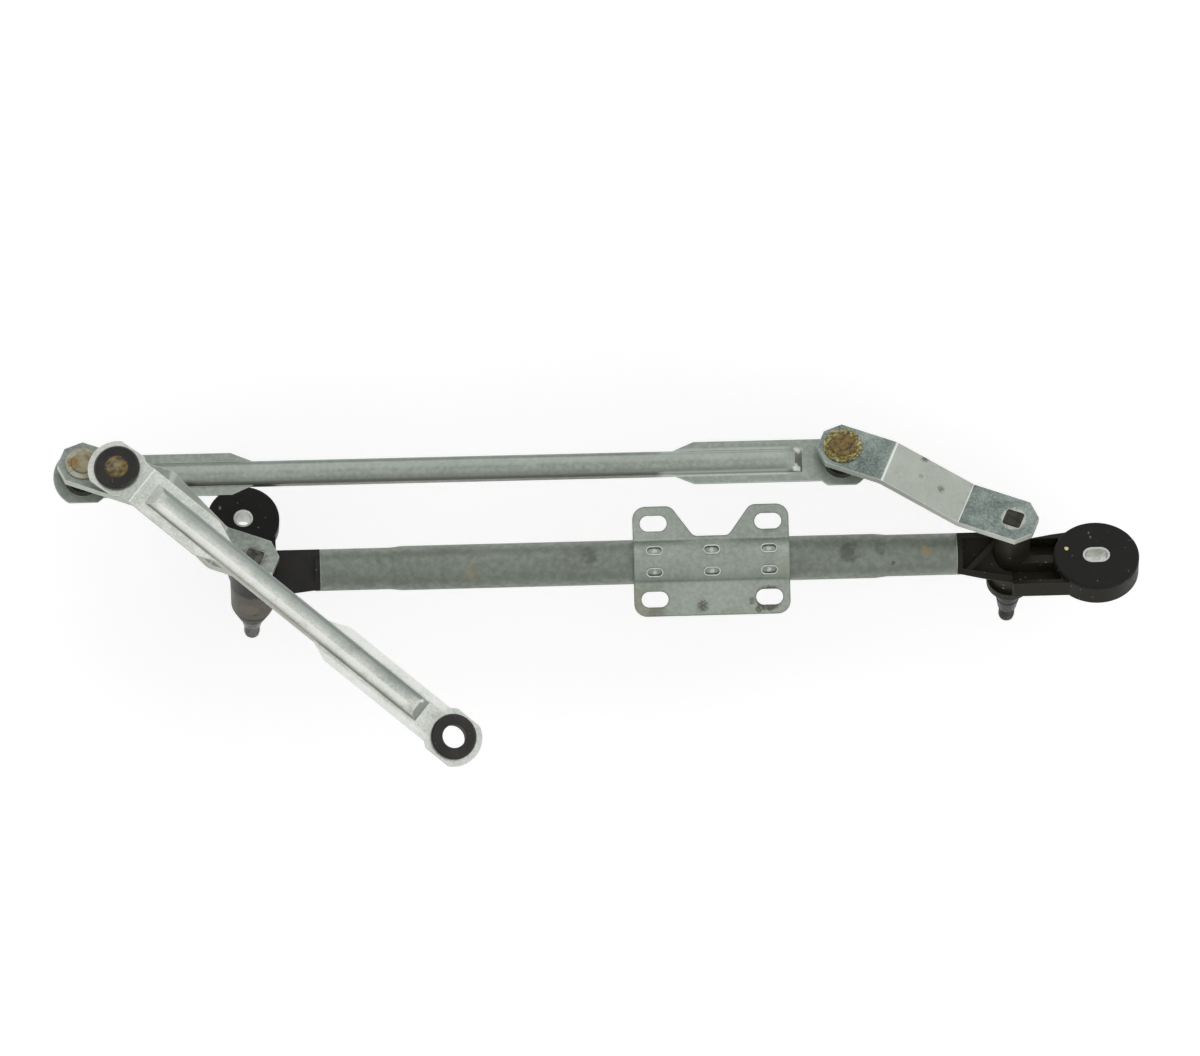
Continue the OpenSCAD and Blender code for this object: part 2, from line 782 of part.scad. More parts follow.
// A spindle's place in an ear's frame, where its axis crosses the ring's middle
function in_ear(hub, ear, tilt, ring_h) =
    let (d = hub - ear, mid = grommet_lip + ring_h / 2)
    let (across = d[1] * cos(tilt) - d[2] * sin(tilt), up = d[1] * sin(tilt) + d[2] * cos(tilt))
    [d[0], across - (up + mid) * tan(spindle_tilt - tilt)];

// Outline of a tray from the tube's end to a spindle, inset by a wall
function tray_line(reach, low, inset) = [
    [inset, neck_r - inset],
    [reach, neck_r + seat_gap - inset],
    [reach, 1.4 * inset - low],
    [reach / 2, 1.4 * inset - (neck_r + low) / 2],
    [inset, inset - neck_r + neck_step]
];

// Moulded tray with a floor and a diagonal rib, seen from the lever side
module tray(reach, low, floor_from) {
    difference() {
        translate([0, 0, -tray_half]) linear_extrude(2 * tray_half) polygon(tray_line(reach, low, 0));
        translate([0, 0, floor_from + rib_t]) linear_extrude(2 * tray_half)
            polygon(tray_line(reach, low, rib_t));
        translate([0, 0, floor_from - 2 * tray_half]) linear_extrude(2 * tray_half)
            polygon(tray_line(reach, low, rib_t));
    }
    intersection() {
        translate([0, 0, -tray_half]) linear_extrude(2 * tray_half - rib_t / 2)
            polygon(tray_line(reach, low, 0));
        translate([reach / 2, 0, 0]) rotate([0, 0, 45])
            cube([3 * reach, rib_t, 4 * tray_half], center = true);
    }
}

// Spigot in the tube, with a shoulder against its end
module spigot() {
    spigot_r = neck_r - tube_wall - seat_gap;
    rotate([0, -90, 0]) ring(spigot_r, spigot_r - spigot_wall, spigot_len);
    rotate([0, 90, 0]) cylinder(r = neck_r - seat_gap, h = rib_t);
}

module barrel_bores(barrel_end) {
    translate([0, 0, -2 * barrel_end]) cylinder(r = bore_r, h = 3 * barrel_end);
    translate([0, 0, barrel_top - bush_len]) cylinder(r = bush_r, h = barrel_end);
    translate([0, 0, -2 * barrel_end]) cylinder(r = bush_r, h = barrel_end + bush_len);
}

module ear_hole(r) {
    translate([0, 0, -2 * r]) cylinder(r = r - ear_ring, h = 4 * r);
}

module left_housing() {
    seat = in_ear(left_hub, left_ear, left_ear_tilt, left_ring_h);
    low = neck_r + rib_t;
    neck = left_ear_r - rib_t;
    color("#262624")
    difference() {
        union() {
            translate([-tube_left, 0, tube_z]) mirror([1, 0, 0]) {
                spigot();
                tray(left_reach, low, tray_half - rib_t);
            }
            on_left_spindle() translate([0, 0, -left_barrel_end])
                cylinder(r1 = left_barrel_foot_r, r2 = left_barrel_r, h = left_barrel_end + barrel_top);
            on_left_ear() translate([0, 0, -grommet_lip - left_ring_h]) {
                cylinder(r = left_ear_r, h = left_ring_h);
                linear_extrude(left_ring_h) polygon([
                    [-neck, 0], [neck, 0],
                    [seat[0] + left_barrel_r, seat[1]], [seat[0] - left_barrel_foot_r, seat[1]]
                ]);
            }
        }
        on_left_spindle() barrel_bores(left_barrel_end);
        on_left_ear() ear_hole(left_ear_r);
    }
}

module right_housing() {
    seat = in_ear(right_hub, right_ear, right_ear_tilt, right_ring_h);
    low = neck_r + 2 * rib_t;
    half = right_ear_r - ear_ring;
    floor = right_ring_h - rib_t;
    pocket = -seat[0] - right_ear_r - right_barrel_r + ear_ring;
    color("#1e1e1d")
    difference() {
        union() {
            translate([tube_right, 0, tube_z]) {
                spigot();
                tray(right_reach, low, -rib_t / 2);
            }
            on_right_spindle() translate([0, 0, -right_barrel_end]) {
                cylinder(r = right_barrel_r, h = right_barrel_end + barrel_top);
                cylinder(r = right_barrel_r + right_rim, h = right_rim_h);
            }
            on_right_ear() translate([0, 0, -grommet_lip]) {
                translate([0, 0, -right_ring_h]) cylinder(r = right_ear_r, h = right_ring_h);
                difference() {
                    translate([0, 0, -right_ring_h]) linear_extrude(right_ring_h) polygon([
                        [seat[0], -half], [0, -half], [0, right_ear_r - rib_t], [-right_ear_r, half],
                        [seat[0] + right_barrel_r, half - rib_t], [seat[0], half - rib_t]
                    ]);
                    for (side = [-1, 1])
                        translate([seat[0] + right_barrel_r - rib_t, side * half / 2, 0])
                            cube([2 * pocket, half - 2 * rib_t, 2 * floor], center = true);
                }
            }
        }
        on_right_spindle() barrel_bores(right_barrel_end);
        on_right_ear() ear_hole(right_ear_r);
    }
}

// Rubber spool in an ear: upper lip, waist in the ring, lower lip
module grommet(r, ring_h) {
    edge = grommet_lip / 2;
    waist = r - ear_ring - seat_gap;
    lower = -grommet_lip - ring_h;
    foot = lower - grommet_lip;
    rotate_extrude() polygon(concat(
        [[0, 0]],
        arc([r - edge, -edge], edge, 90, 0),
        [[r, -grommet_lip], [waist, -grommet_lip], [waist, lower], [r - ear_ring / 2, lower],
            [r - ear_ring / 2 - edge, foot], [0, foot]]
    ));
}

module left_grommet() {
    color("#151515")
    on_left_ear() difference() {
        grommet(left_ear_r, left_ring_h);
        translate([0, 0, -2 * left_grommet_h])
            cylinder(r = sleeve_bore / 2 + sleeve_wall + seat_gap, h = 4 * left_grommet_h);
    }
}

module right_grommet() {
    grow = 2 * (sleeve_wall + seat_gap);
    color("#151515")
    on_right_ear() difference() {
        grommet(right_ear_r, right_ring_h);
        translate([0, 0, -2 * right_grommet_h]) linear_extrude(4 * right_grommet_h)
            slot_2d(sleeve_slot + grow, sleeve_bore + grow);
    }
}

module left_sleeve() {
    color("whitesmoke")
    on_left_ear() translate([0, 0, -left_grommet_h])
        ring(sleeve_bore / 2 + sleeve_wall, sleeve_bore / 2, left_grommet_h);
}

module right_sleeve() {
    grow = 2 * sleeve_wall;
    color("whitesmoke")
    on_right_ear() translate([0, 0, -right_grommet_h]) linear_extrude(right_grommet_h) difference() {
        slot_2d(sleeve_slot + grow, sleeve_bore + grow);
        slot_2d(sleeve_slot, sleeve_bore);
    }
}

support_tube();
motor_plate();
left_housing();
right_housing();
left_grommet();
right_grommet();
left_sleeve();
right_sleeve();
left_upper_bush();
left_lower_bush();
right_upper_bush();
right_lower_bush();
left_seal_cap();
right_seal_cap();
left_spindle();
left_lever();
left_rod_stud();
left_drive_stud();
left_thrust_washer();
left_circlip();
right_spindle();
right_lever();
right_rod_stud();
right_thrust_washer();
right_circlip();
link_rod();
link_rod_left_socket();
link_rod_right_socket();
drive_rod();
drive_rod_upper_socket();
drive_rod_free_socket();
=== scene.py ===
"""Looks of a windscreen wiper linkage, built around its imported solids.

The solids carry every size and place. This script gives each of them a finish and adds
the small forms that a lathe, a press or a brush leaves: threads, knurls, swaged rivets
and grease. All lengths are metres.
"""

import json
import logging
import math
from dataclasses import dataclass, field
from enum import Enum
from typing import Callable, Optional, Sequence, Union

import bpy
from mathutils import Matrix, Vector


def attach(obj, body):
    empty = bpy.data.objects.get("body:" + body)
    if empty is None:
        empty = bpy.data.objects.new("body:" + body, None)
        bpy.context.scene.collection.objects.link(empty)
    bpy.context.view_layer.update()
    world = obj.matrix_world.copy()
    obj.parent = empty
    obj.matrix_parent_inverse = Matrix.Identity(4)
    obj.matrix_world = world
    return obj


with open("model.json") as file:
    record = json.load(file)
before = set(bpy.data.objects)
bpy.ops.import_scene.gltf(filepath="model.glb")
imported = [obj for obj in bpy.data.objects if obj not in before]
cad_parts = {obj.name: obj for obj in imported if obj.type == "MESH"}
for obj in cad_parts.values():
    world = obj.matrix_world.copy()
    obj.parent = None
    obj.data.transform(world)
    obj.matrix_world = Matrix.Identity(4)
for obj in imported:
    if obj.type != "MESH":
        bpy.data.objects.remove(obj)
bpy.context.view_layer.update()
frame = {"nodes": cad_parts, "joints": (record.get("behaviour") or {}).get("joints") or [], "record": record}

LOG = logging.getLogger("wiper_linkage")
MM = 0.001
Colour = tuple[float, float, float]
Place = tuple[float, float, float]
Socket = bpy.types.NodeSocket
Value = Union[float, Sequence[float], Socket]

# Levels of a noise between which a mask rises from 0 to 1.
CRYSTAL_STEP = (0.36, 0.66)
BLOTCH_STEP = (0.34, 0.70)
SPECK_STEP = (0.60, 0.74)
SMEAR_STEP = (0.54, 0.78)
DUST_STEP = (0.42, 0.74)
DOT_STEP = (0.69, 0.73)
LUMP_STEP = (0.38, 0.62)
BARE_STEP = (0.50, 0.60)
RING_STEP = (0.36, 0.66)
TARNISH_STEP = (0.50, 0.74)
STAIN_STEP = (0.30, 0.48)
EDGE_STEP = (0.01, 0.20)

# Heights of a face's unit normal that tell a top, a wall and a rim.
TOP_NORMAL = 0.9
WALL_NORMAL = 0.6
RIM_NORMAL = 0.8


class Body(str, Enum):
    """Bodies that the added pieces ride."""

    FRAME = "frame"
    LEFT_ARM = "left_arm"
    RIGHT_ARM = "right_arm"


@dataclass(frozen=True)
class StainOrPaintedLight:
    """A patch of rust, grease or dirt round a point on a piece; the pale and glint ones are painted
    highlights.
    """

    centre: Place
    inner: float
    outer: float
    colour: Colour
    amount: float
    scale: float = 700.0


@dataclass(frozen=True)
class PaintedFlank:
    """A side of a pressed bead painted by the way its faces look: darker for painted shade, lighter for a
    painted highlight.
    """

    axis: Place
    low: float
    high: float
    colour: Colour
    amount: float


@dataclass(frozen=True)
class Line:
    """One side of a rod: a point of its middle line, its two ways and half its reach."""

    middle: Place
    across: Place
    along: Place
    half: float


@dataclass(frozen=True)
class PaintedBand:
    """A painted band along a rod, darker for shade and lighter for a highlight, from one distance beside its
    middle line to another.
    """

    line: Line
    start: float
    full: float
    stop: float
    colour: Colour
    amount: float
    fade: float = 1.0 * MM
    tip: float = 6.0 * MM


class Graph:
    """Small helper that adds and links shader nodes in one material."""

    MIX_SHARE, MIX_FIRST, MIX_SECOND, MIX_RESULT = 0, 6, 7, 2
    BEVEL_SAMPLES = 4

    def __init__(self, name: str) -> None:
        """Starts a material.

        Args:
            name: name of the material.
        """
        self.material = bpy.data.materials.new(name)
        self.material.use_nodes = True
        self.tree = self.material.node_tree
        self.tree.nodes.clear()
        self.output = self.tree.nodes.new("ShaderNodeOutputMaterial")
        self.place = self.node("ShaderNodeTexCoord").outputs["Object"]

    def node(self, kind: str, **inputs: Value) -> bpy.types.Node:
        """Adds a node and fills its named inputs.

        Args:
            kind: Blender's node type.
            inputs: socket names, with _ for a space, and a value or a socket to link.

        Returns:
            The new node.
        """
        made = self.tree.nodes.new(kind)
        for key, value in inputs.items():
            self.feed(made.inputs[key.replace("_", " ")], value)
        return made

    def feed(self, socket: Socket, value: Value) -> None:
        """Links a socket to another, or sets its value.

        Args:
            socket: input to fill.
            value: socket to link, or a plain value.
        """
        if isinstance(value, Socket):
            self.tree.links.new(value, socket)
        else:
            socket.default_value = value

    def noise(
        self, scale: float, detail: float, rough: float = 0.55,
        place: Optional[Socket] = None,
    ) -> Socket:
        """Noise in object space.

        Args:
            scale: lumps per metre.
            detail: octaves.
            rough: strength of the fine octaves.
            place: coordinates, or None for the object's own.

        Returns:
            The noise's value socket.
        """
        made = self.node("ShaderNodeTexNoise", Scale=scale, Detail=detail, Roughness=rough)
        self.feed(made.inputs["Vector"], place or self.place)
        return made.outputs["Fac"]

    def stretched(self, scale: Sequence[float]) -> Socket:
        """Object coordinates stretched, for drawn marks."""
        return self.node("ShaderNodeMapping", Vector=self.place, Scale=scale).outputs["Vector"]

    def ramp(self, value: Socket, low: float, high: float) -> Socket:
        """Smooth step of a value between two levels.

        Args:
            value: the value.
            low: level that gives 0.
            high: level that gives 1.

        Returns:
            The step.
        """
        made = self.node("ShaderNodeMapRange", Value=value, From_Min=low, From_Max=high)
        made.interpolation_type = "SMOOTHSTEP"
        return made.outputs["Result"]

    def span(self, value: Socket, low: float, high: float) -> Socket:
        """Maps 0 to 1 onto low to high."""
        made = self.node("ShaderNodeMapRange", Value=value, To_Min=low, To_Max=high)
        return made.outputs["Result"]

    def maths(self, operation: str, first: Value, second: Value = 0.0) -> Socket:
        """One arithmetic step.

        Args:
            operation: Blender's name of the step.
            first: value or socket.
            second: value or socket.

        Returns:
            The result.
        """
        made = self.node("ShaderNodeMath")
        made.operation = operation
        self.feed(made.inputs[0], first)
        self.feed(made.inputs[1], second)
        return made.outputs[0]

    def times(self, first: Value, second: Value) -> Socket:
        """Product of two values."""
        return self.maths("MULTIPLY", first, second)

    def plus(self, first: Value, second: Value) -> Socket:
        """Sum of two values."""
        return self.maths("ADD", first, second)

    def inverse(self, value: Value) -> Socket:
        """One less a value."""
        return self.maths("SUBTRACT", 1.0, value)

    def vectors(self, operation: str, first: Value, second: Value) -> bpy.types.Node:
        """One step on vectors.

        Args:
            operation: Blender's name of the step.
            first: vector or socket.
            second: vector or socket.

        Returns:
            The node, with a Vector and a Value output.
        """
        made = self.node("ShaderNodeVectorMath")
        made.operation = operation
        self.feed(made.inputs[0], first)
        self.feed(made.inputs[1], second)
        return made

    def mix(self, share: Value, first: Value, second: Value) -> Socket:
        """Mixes two colours.

        Args:
            share: share of the second colour.
            first: colour or socket.
            second: colour or socket.

        Returns:
            The mixed colour.
        """
        made = self.node("ShaderNodeMix")
        made.data_type = "RGBA"
        self.feed(made.inputs[self.MIX_SHARE], share)
        self.feed(made.inputs[self.MIX_FIRST], opaque(first))
        self.feed(made.inputs[self.MIX_SECOND], opaque(second))
        return made.outputs[self.MIX_RESULT]

    def edges(self, radius: float) -> Socket:
        """Mask that is 1 along sharp edges and 0 on open faces.

        Args:
            radius: reach of the mask.

        Returns:
            The mask.
        """
        rounded = self.node("ShaderNodeBevel", Radius=radius)
        rounded.samples = self.BEVEL_SAMPLES
        flat = self.node("ShaderNodeNewGeometry")
        same = self.vectors("DOT_PRODUCT", rounded.outputs["Normal"], flat.outputs["Normal"])
        return self.ramp(self.inverse(same.outputs["Value"]), *EDGE_STEP)

    def facing(self, axis: Sequence[float], low: float, high: float) -> Socket:
        """Mask of faces that look along an axis, by the cosines that give 0 and 1."""
        normal = self.node("ShaderNodeTexCoord").outputs["Normal"]
        return self.ramp(self.vectors("DOT_PRODUCT", normal, axis).outputs["Value"], low, high)

    def around(self, centre: Place, inner: float, outer: float) -> Socket:
        """Mask that fades from 1 inside the inner radius to 0 at the outer one."""
        apart = self.vectors("DISTANCE", self.place, centre)
        return self.inverse(self.ramp(apart.outputs["Value"], inner, outer))

    def offset(self, origin: Place, axis: Place) -> Socket:
        """Distance from a point, measured along an axis of the object."""
        apart = self.vectors("SUBTRACT", self.place, origin).outputs["Vector"]
        return self.vectors("DOT_PRODUCT", apart, axis).outputs["Value"]

    def band(self, band: PaintedBand) -> Socket:
        """Mask of a band of painted light and shade that runs along one side of a rod.

        Args:
            band: the painted band's place and amount.

        Returns:
            The mask.
        """
        line = band.line
        beside = self.offset(line.middle, line.across)
        onset = self.ramp(beside, band.start, band.full)
        ending = self.ramp(beside, band.stop - band.fade, band.stop)
        along = self.maths("ABSOLUTE", self.offset(line.middle, line.along))
        tips = self.inverse(self.ramp(along, line.half, line.half + band.tip))
        return self.times(self.times(self.maths("SUBTRACT", onset, ending), tips), band.amount)

    def patch(self, stain: StainOrPaintedLight) -> Socket:
        """Ragged mask of a stain, or of a painted highlight spot.

        Args:
            stain: the spot's place, grain and amount.

        Returns:
            The mask.
        """
        spot = self.around(stain.centre, stain.inner, stain.outer)
        grain = self.noise(stain.scale, detail=6.0, rough=0.7)
        return self.times(self.ramp(self.times(spot, grain), *STAIN_STEP), stain.amount)

    def bump(self, height: Socket, strength: float, distance: float) -> Socket:
        """Bump from a height."""
        made = self.node("ShaderNodeBump", Height=height, Strength=strength, Distance=distance)
        return made.outputs["Normal"]

    def surface(self, **inputs: Value) -> bpy.types.Material:
        """Ends the material in a principled shader.

        Args:
            inputs: socket names and values, as for node.

        Returns:
            The finished material.
        """
        shader = self.node("ShaderNodeBsdfPrincipled", **inputs)
        self.tree.links.new(shader.outputs["BSDF"], self.output.inputs["Surface"])
        return self.material


def opaque(colour: Value) -> Value:
    """Colour as RGBA, or the socket itself."""
    return (*colour, 1.0) if isinstance(colour, tuple) and len(colour) == 3 else colour


@dataclass(frozen=True)
class ZincFinish:
    """Zinc on pressed steel: mottled crystals, dull blotches, stains, edges that are worn and carry a
    painted highlight, and painted light and shade on slopes, bends and beads.
    """

    name: str
    light: Colour
    dark: Colour
    grime_amount: float
    mottle: float
    blotch: float
    grime: Colour = (0.075, 0.07, 0.05)
    crystal_share: float = 0.45
    speck_ratio: float = 0.33
    smear_ratio: float = 2.3
    dirt_dulls: float = 0.8
    dirt_roughens: float = 0.3
    relief: float = 0.5
    drawn: Place = (1.0, 1.0, 1.0)
    metallic: float = 0.82
    rough: tuple[float, float] = (0.3, 0.52)
    # Edge colour: worn edges, and the painted highlight along edges and bends.
    edge: Colour = (0.86, 0.88, 0.86)
    edge_amount: float = 0.7
    edge_radius: float = 0.7 * MM
    stains: tuple[StainOrPaintedLight, ...] = ()
    # Painted light on bent parts: faces that turn away from the flat axis take the lighter ramp colour, and
    # a painted highlight stripe runs along each bend.
    flat_axis: Optional[Place] = None
    ramp: Colour = (0.55, 0.58, 0.53)
    painted_slope_share: float = 0.9
    bend: tuple[float, float] = (0.935, 0.995)
    highlight_stripe_margin: float = 0.3
    highlight_stripe_amount: float = 0.85
    # Painted shade and painted highlights on a bead's flanks and in bands along a rod.
    flanks: tuple[PaintedFlank, ...] = ()
    bands: tuple[PaintedBand, ...] = ()

    def paint_slope_light(self, g: Graph, colour: Socket) -> Socket:
        """Paints light on the sloping faces: a lighter tone, and a painted highlight stripe along each bend.

        Args:
            g: graph of the material.
            colour: colour of the flat faces.

        Returns:
            The colour of all faces.
        """
        low, high = self.bend
        margin = self.highlight_stripe_margin * (high - low)
        sloping = g.inverse(g.facing(self.flat_axis, low, high))
        colour = g.mix(g.times(sloping, self.painted_slope_share), colour, self.ramp)
        # Painted highlight stripe along each bend.
        onset = g.facing(self.flat_axis, low, low + margin)
        ending = g.facing(self.flat_axis, high - margin, high)
        stripe = g.times(g.maths("SUBTRACT", onset, ending), self.highlight_stripe_amount)
        return g.mix(stripe, colour, self.edge)

    def pressed(self, g: Graph, colour: Socket) -> Socket:
        """Paints shade and highlights on the flanks of a pressed bead and in the bands along it.

        Args:
            g: graph of the material.
            colour: colour of the bare zinc.

        Returns:
            The colour with both.
        """
        for flank in self.flanks:
            side = g.facing(flank.axis, flank.low, flank.high)
            colour = g.mix(g.times(side, flank.amount), colour, flank.colour)
        for band in self.bands:
            colour = g.mix(g.band(band), colour, band.colour)
        return colour

    def material(self) -> bpy.types.Material:
        """Builds the finish.

        Returns:
            The node material.
        """
        g = Graph(self.name)
        crystals = g.ramp(g.noise(self.mottle, detail=5.0, rough=0.6), *CRYSTAL_STEP)
        blotches = g.noise(self.blotch, detail=6.0, rough=0.62, place=g.stretched(self.drawn))
        blotches = g.ramp(blotches, *BLOTCH_STEP)
        tone = g.plus(
            g.times(crystals, self.crystal_share), g.times(blotches, 1.0 - self.crystal_share)
        )
        colour = g.mix(tone, self.dark, self.light)
        if self.flat_axis:
            colour = self.paint_slope_light(g, colour)
        colour = self.pressed(g, colour)
        specks = g.noise(self.mottle * self.speck_ratio, detail=8.0, rough=0.72)
        specks = g.ramp(specks, *SPECK_STEP)
        smears = g.noise(self.blotch * self.smear_ratio, detail=7.0, rough=0.66)
        smears = g.ramp(smears, *SMEAR_STEP)
        dirt = g.times(g.maths("MAXIMUM", specks, smears), self.grime_amount)
        colour = g.mix(dirt, colour, self.grime)
        # Edges take the edge colour: wear, and where that colour is bright, a painted highlight along them.
        wear_and_edge_highlight = g.times(g.edges(self.edge_radius), self.edge_amount)
        colour = g.mix(wear_and_edge_highlight, colour, self.edge)
        # Stains, and the painted highlight spots among them; all of them also dull and roughen the metal
        # through the dirt mask.
        for stain in self.stains:
            share = g.patch(stain)
            colour = g.mix(share, colour, stain.colour)
            dirt = g.maths("MAXIMUM", dirt, share)
        rough = g.span(tone, self.rough[1], self.rough[0])
        height = g.plus(g.times(crystals, self.relief), g.times(smears, self.relief))
        return g.surface(
            Base_Color=colour,
            Metallic=g.times(g.inverse(g.times(dirt, self.dirt_dulls)), self.metallic),
            Roughness=g.plus(rough, g.times(dirt, self.dirt_roughens)),
            Normal=g.bump(height, strength=0.16, distance=0.2 * MM),
        )


@dataclass(frozen=True)
class MouldedFinish:
    """Black moulded plastic or rubber, with fine grain, dust in the low places, and lighter edges that are
    scuffs and a painted highlight.
    """

    name: str
    colour: Colour
    dust: Colour = (0.16, 0.15, 0.12)
    dust_amount: float = 0.25
    rough: tuple[float, float] = (0.42, 0.68)
    grain: float = 1500.0
    dot_ratio: float = 0.3
    patch: float = 60.0
    patch_relief: float = 0.6
    edge: Colour = (0.12, 0.12, 0.115)
    edge_amount: float = 0.25
    edge_radius: float = 0.6 * MM
    specks: float = 0.6
    speck: Colour = (0.4, 0.39, 0.34)
    shine: float = 0.3
    stains: tuple[StainOrPaintedLight, ...] = ()

    def material(self) -> bpy.types.Material:
        """Builds the finish.

        Returns:
            The node material.
        """
        g = Graph(self.name)
        patches = g.ramp(g.noise(self.patch, detail=7.0, rough=0.62), *DUST_STEP)
        colour = g.mix(g.times(patches, self.dust_amount), self.colour, self.dust)
        dots = g.noise(self.grain * self.dot_ratio, detail=3.0, rough=0.5)
        dots = g.ramp(dots, *DOT_STEP)
        colour = g.mix(g.times(dots, self.specks), colour, self.speck)
        # Lighter edges: scuffs, and a painted highlight along them.
        wear_and_edge_highlight = g.times(g.edges(self.edge_radius), self.edge_amount)
        colour = g.mix(wear_and_edge_highlight, colour, self.edge)
        for stain in self.stains:
            colour = g.mix(g.patch(stain), colour, stain.colour)
        grain = g.noise(self.grain, detail=4.0, rough=0.6)
        height = g.plus(grain, g.times(patches, self.patch_relief))
        return g.surface(
            Base_Color=colour,
            Roughness=g.span(patches, *self.rough),
            Specular_IOR_Level=self.shine,
            Normal=g.bump(height, strength=0.2, distance=0.25 * MM),
        )


@dataclass(frozen=True)
class GreaseFinish:
    """Old grease and rust over steel: gold, brown and wet."""

    name: str
    gold: Colour
    brown: Colour
    steel: Colour
    scale: float
    bare_ratio: float = 0.6
    steel_share: float = 0.5
    metallic: float = 0.7
    rough: tuple[float, float] = (0.24, 0.55)
    stains: tuple[StainOrPaintedLight, ...] = ()

    def material(self) -> bpy.types.Material:
        """Builds the finish.

        Returns:
            The node material.
        """
        g = Graph(self.name)
        lumps = g.noise(self.scale, detail=6.0, rough=0.66)
        colour = g.mix(g.ramp(lumps, *LUMP_STEP), self.brown, self.gold)
        bare = g.noise(self.scale * self.bare_ratio, detail=4.0, rough=0.6)
        bare = g.times(g.ramp(bare, *BARE_STEP), self.steel_share)
        colour = g.mix(bare, colour, self.steel)
        for stain in self.stains:
            colour = g.mix(g.patch(stain), colour, stain.colour)
        return g.surface(
            Base_Color=colour,
            Metallic=g.times(bare, self.metallic),
            Roughness=g.span(lumps, *self.rough),
            Normal=g.bump(lumps, strength=0.5, distance=0.5 * MM),
        )


@dataclass(frozen=True)
class SteelFinish:
    """Turned or worn steel and bronze: mottled tone, dull stains, and bright edges that are wear and a
    painted highlight.
    """

    name: str
    light: Colour
    dark: Colour
    rough: tuple[float, float] = (0.22, 0.48)
    metallic: float = 0.9
    ring: float = 240.0
    tarnish: Colour = (0.06, 0.05, 0.035)
    tarnish_amount: float = 0.4
    tarnish_scale: float = 180.0
    tarnish_roughens: float = 0.4
    edge: Colour = (0.8, 0.8, 0.78)
    edge_amount: float = 0.5
    edge_radius: float = 0.5 * MM

    def material(self) -> bpy.types.Material:
        """Builds the finish.

        Returns:
            The node material.
        """
        g = Graph(self.name)
        rings = g.noise(self.ring, detail=5.0, rough=0.6)
        colour = g.mix(g.ramp(rings, *RING_STEP), self.dark, self.light)
        dull = g.ramp(g.noise(self.tarnish_scale, detail=7.0, rough=0.65), *TARNISH_STEP)
        dull = g.times(dull, self.tarnish_amount)
        colour = g.mix(dull, colour, self.tarnish)
        # Bright edges: wear, and a painted highlight along them.
        wear_and_edge_highlight = g.times(g.edges(self.edge_radius), self.edge_amount)
        return g.surface(
            Base_Color=g.mix(wear_and_edge_highlight, colour, self.edge),
            Metallic=g.times(g.inverse(dull), self.metallic),
            Roughness=g.plus(g.span(rings, *self.rough), g.times(dull, self.tarnish_roughens)),
            Normal=g.bump(rings, strength=0.12, distance=0.2 * MM),
        )


Finish = Union[ZincFinish, MouldedFinish, GreaseFinish, SteelFinish]

GOLD: Colour = (0.28, 0.16, 0.03)
OCHRE: Colour = (0.4, 0.27, 0.08)
DIRT: Colour = (0.09, 0.075, 0.045)
OLIVE: Colour = (0.25, 0.24, 0.14)
# Colours of painted highlights: a pale one and a glint.
PAINTED_PALE_LIGHT: Colour = (0.72, 0.70, 0.56)
GLINT: Colour = (0.86, 0.88, 0.80)
SMUDGE: Colour = (0.075, 0.08, 0.075)
# Painted light on the drive rod's flanges.
PAINTED_FLANGE_LIGHT: Colour = (0.95, 0.96, 0.93)

# Axes and lines of the bodies at rest, which the painted shade and highlights on the rods and levers follow.
LEAN = math.radians(32.0)
SPINDLE_AXIS = (0.0, math.sin(LEAN), math.cos(LEAN))
DRIVE_EYE_AXIS = (-0.136, 0.37, 0.919)
DRIVE_MIDDLE = (-0.2322, -0.0175, 0.0440)
DRIVE_FREE_END = (-0.1825, -0.0594, 0.0456)
DRIVE_ALONG = (0.7645, -0.6440, 0.0239)
DRIVE_ACROSS = (0.6440, 0.7645, 0.0)
DRIVE_BACK = (-0.6440, -0.7645, 0.0)
DRIVE_BEAD = Line(DRIVE_MIDDLE, DRIVE_ACROSS, DRIVE_ALONG, 0.083)
DRIVE_UPPER_FLANGE = Line(DRIVE_FREE_END, DRIVE_ACROSS, DRIVE_ALONG, 0.036)
DRIVE_LOWER_FLANGE = Line(DRIVE_FREE_END, DRIVE_BACK, DRIVE_ALONG, 0.036)
LINK_MIDDLE = (-0.1334, 0.0532, 0.0100)
LINK_FLARE = (0.0080, 0.0529, 0.0100)
LINK_ALONG = (1.0, 0.0, 0.0)
LINK_UP = (0.0, 1.0, 0.0)
LINK_DOWN = (0.0, -1.0, 0.0)
LINK_TOP = Line(LINK_MIDDLE, LINK_UP, LINK_ALONG, 0.172)
LINK_FOOT = Line(LINK_MIDDLE, LINK_DOWN, LINK_ALONG, 0.172)
LINK_FLARE_TOP = Line(LINK_FLARE, LINK_UP, LINK_ALONG, 0.032)
LINK_FLARE_FOOT = Line(LINK_FLARE, LINK_DOWN, LINK_ALONG, 0.032)

# The clinch marks stand in three columns and two rows on the plate's saddle.
CLINCH_COLUMNS = (-1, 0, 1)
CLINCH_ROWS = (-1, 1)
CLINCH_PITCH = 31.0 * MM
# Painted glints inside the clinch dimples.
CLINCH_GLINTS = tuple(
    StainOrPaintedLight((column * CLINCH_PITCH, row * 0.0059, 0.0040), 0.0005, 0.0032, GLINT, 0.55, 500.0)
    for column in CLINCH_COLUMNS for row in CLINCH_ROWS
)
LEFT_RIVET_GOLD = StainOrPaintedLight((-0.3440, 0.0620, 0.0262), 0.001, 0.0075, GOLD, 0.9, 500.0)

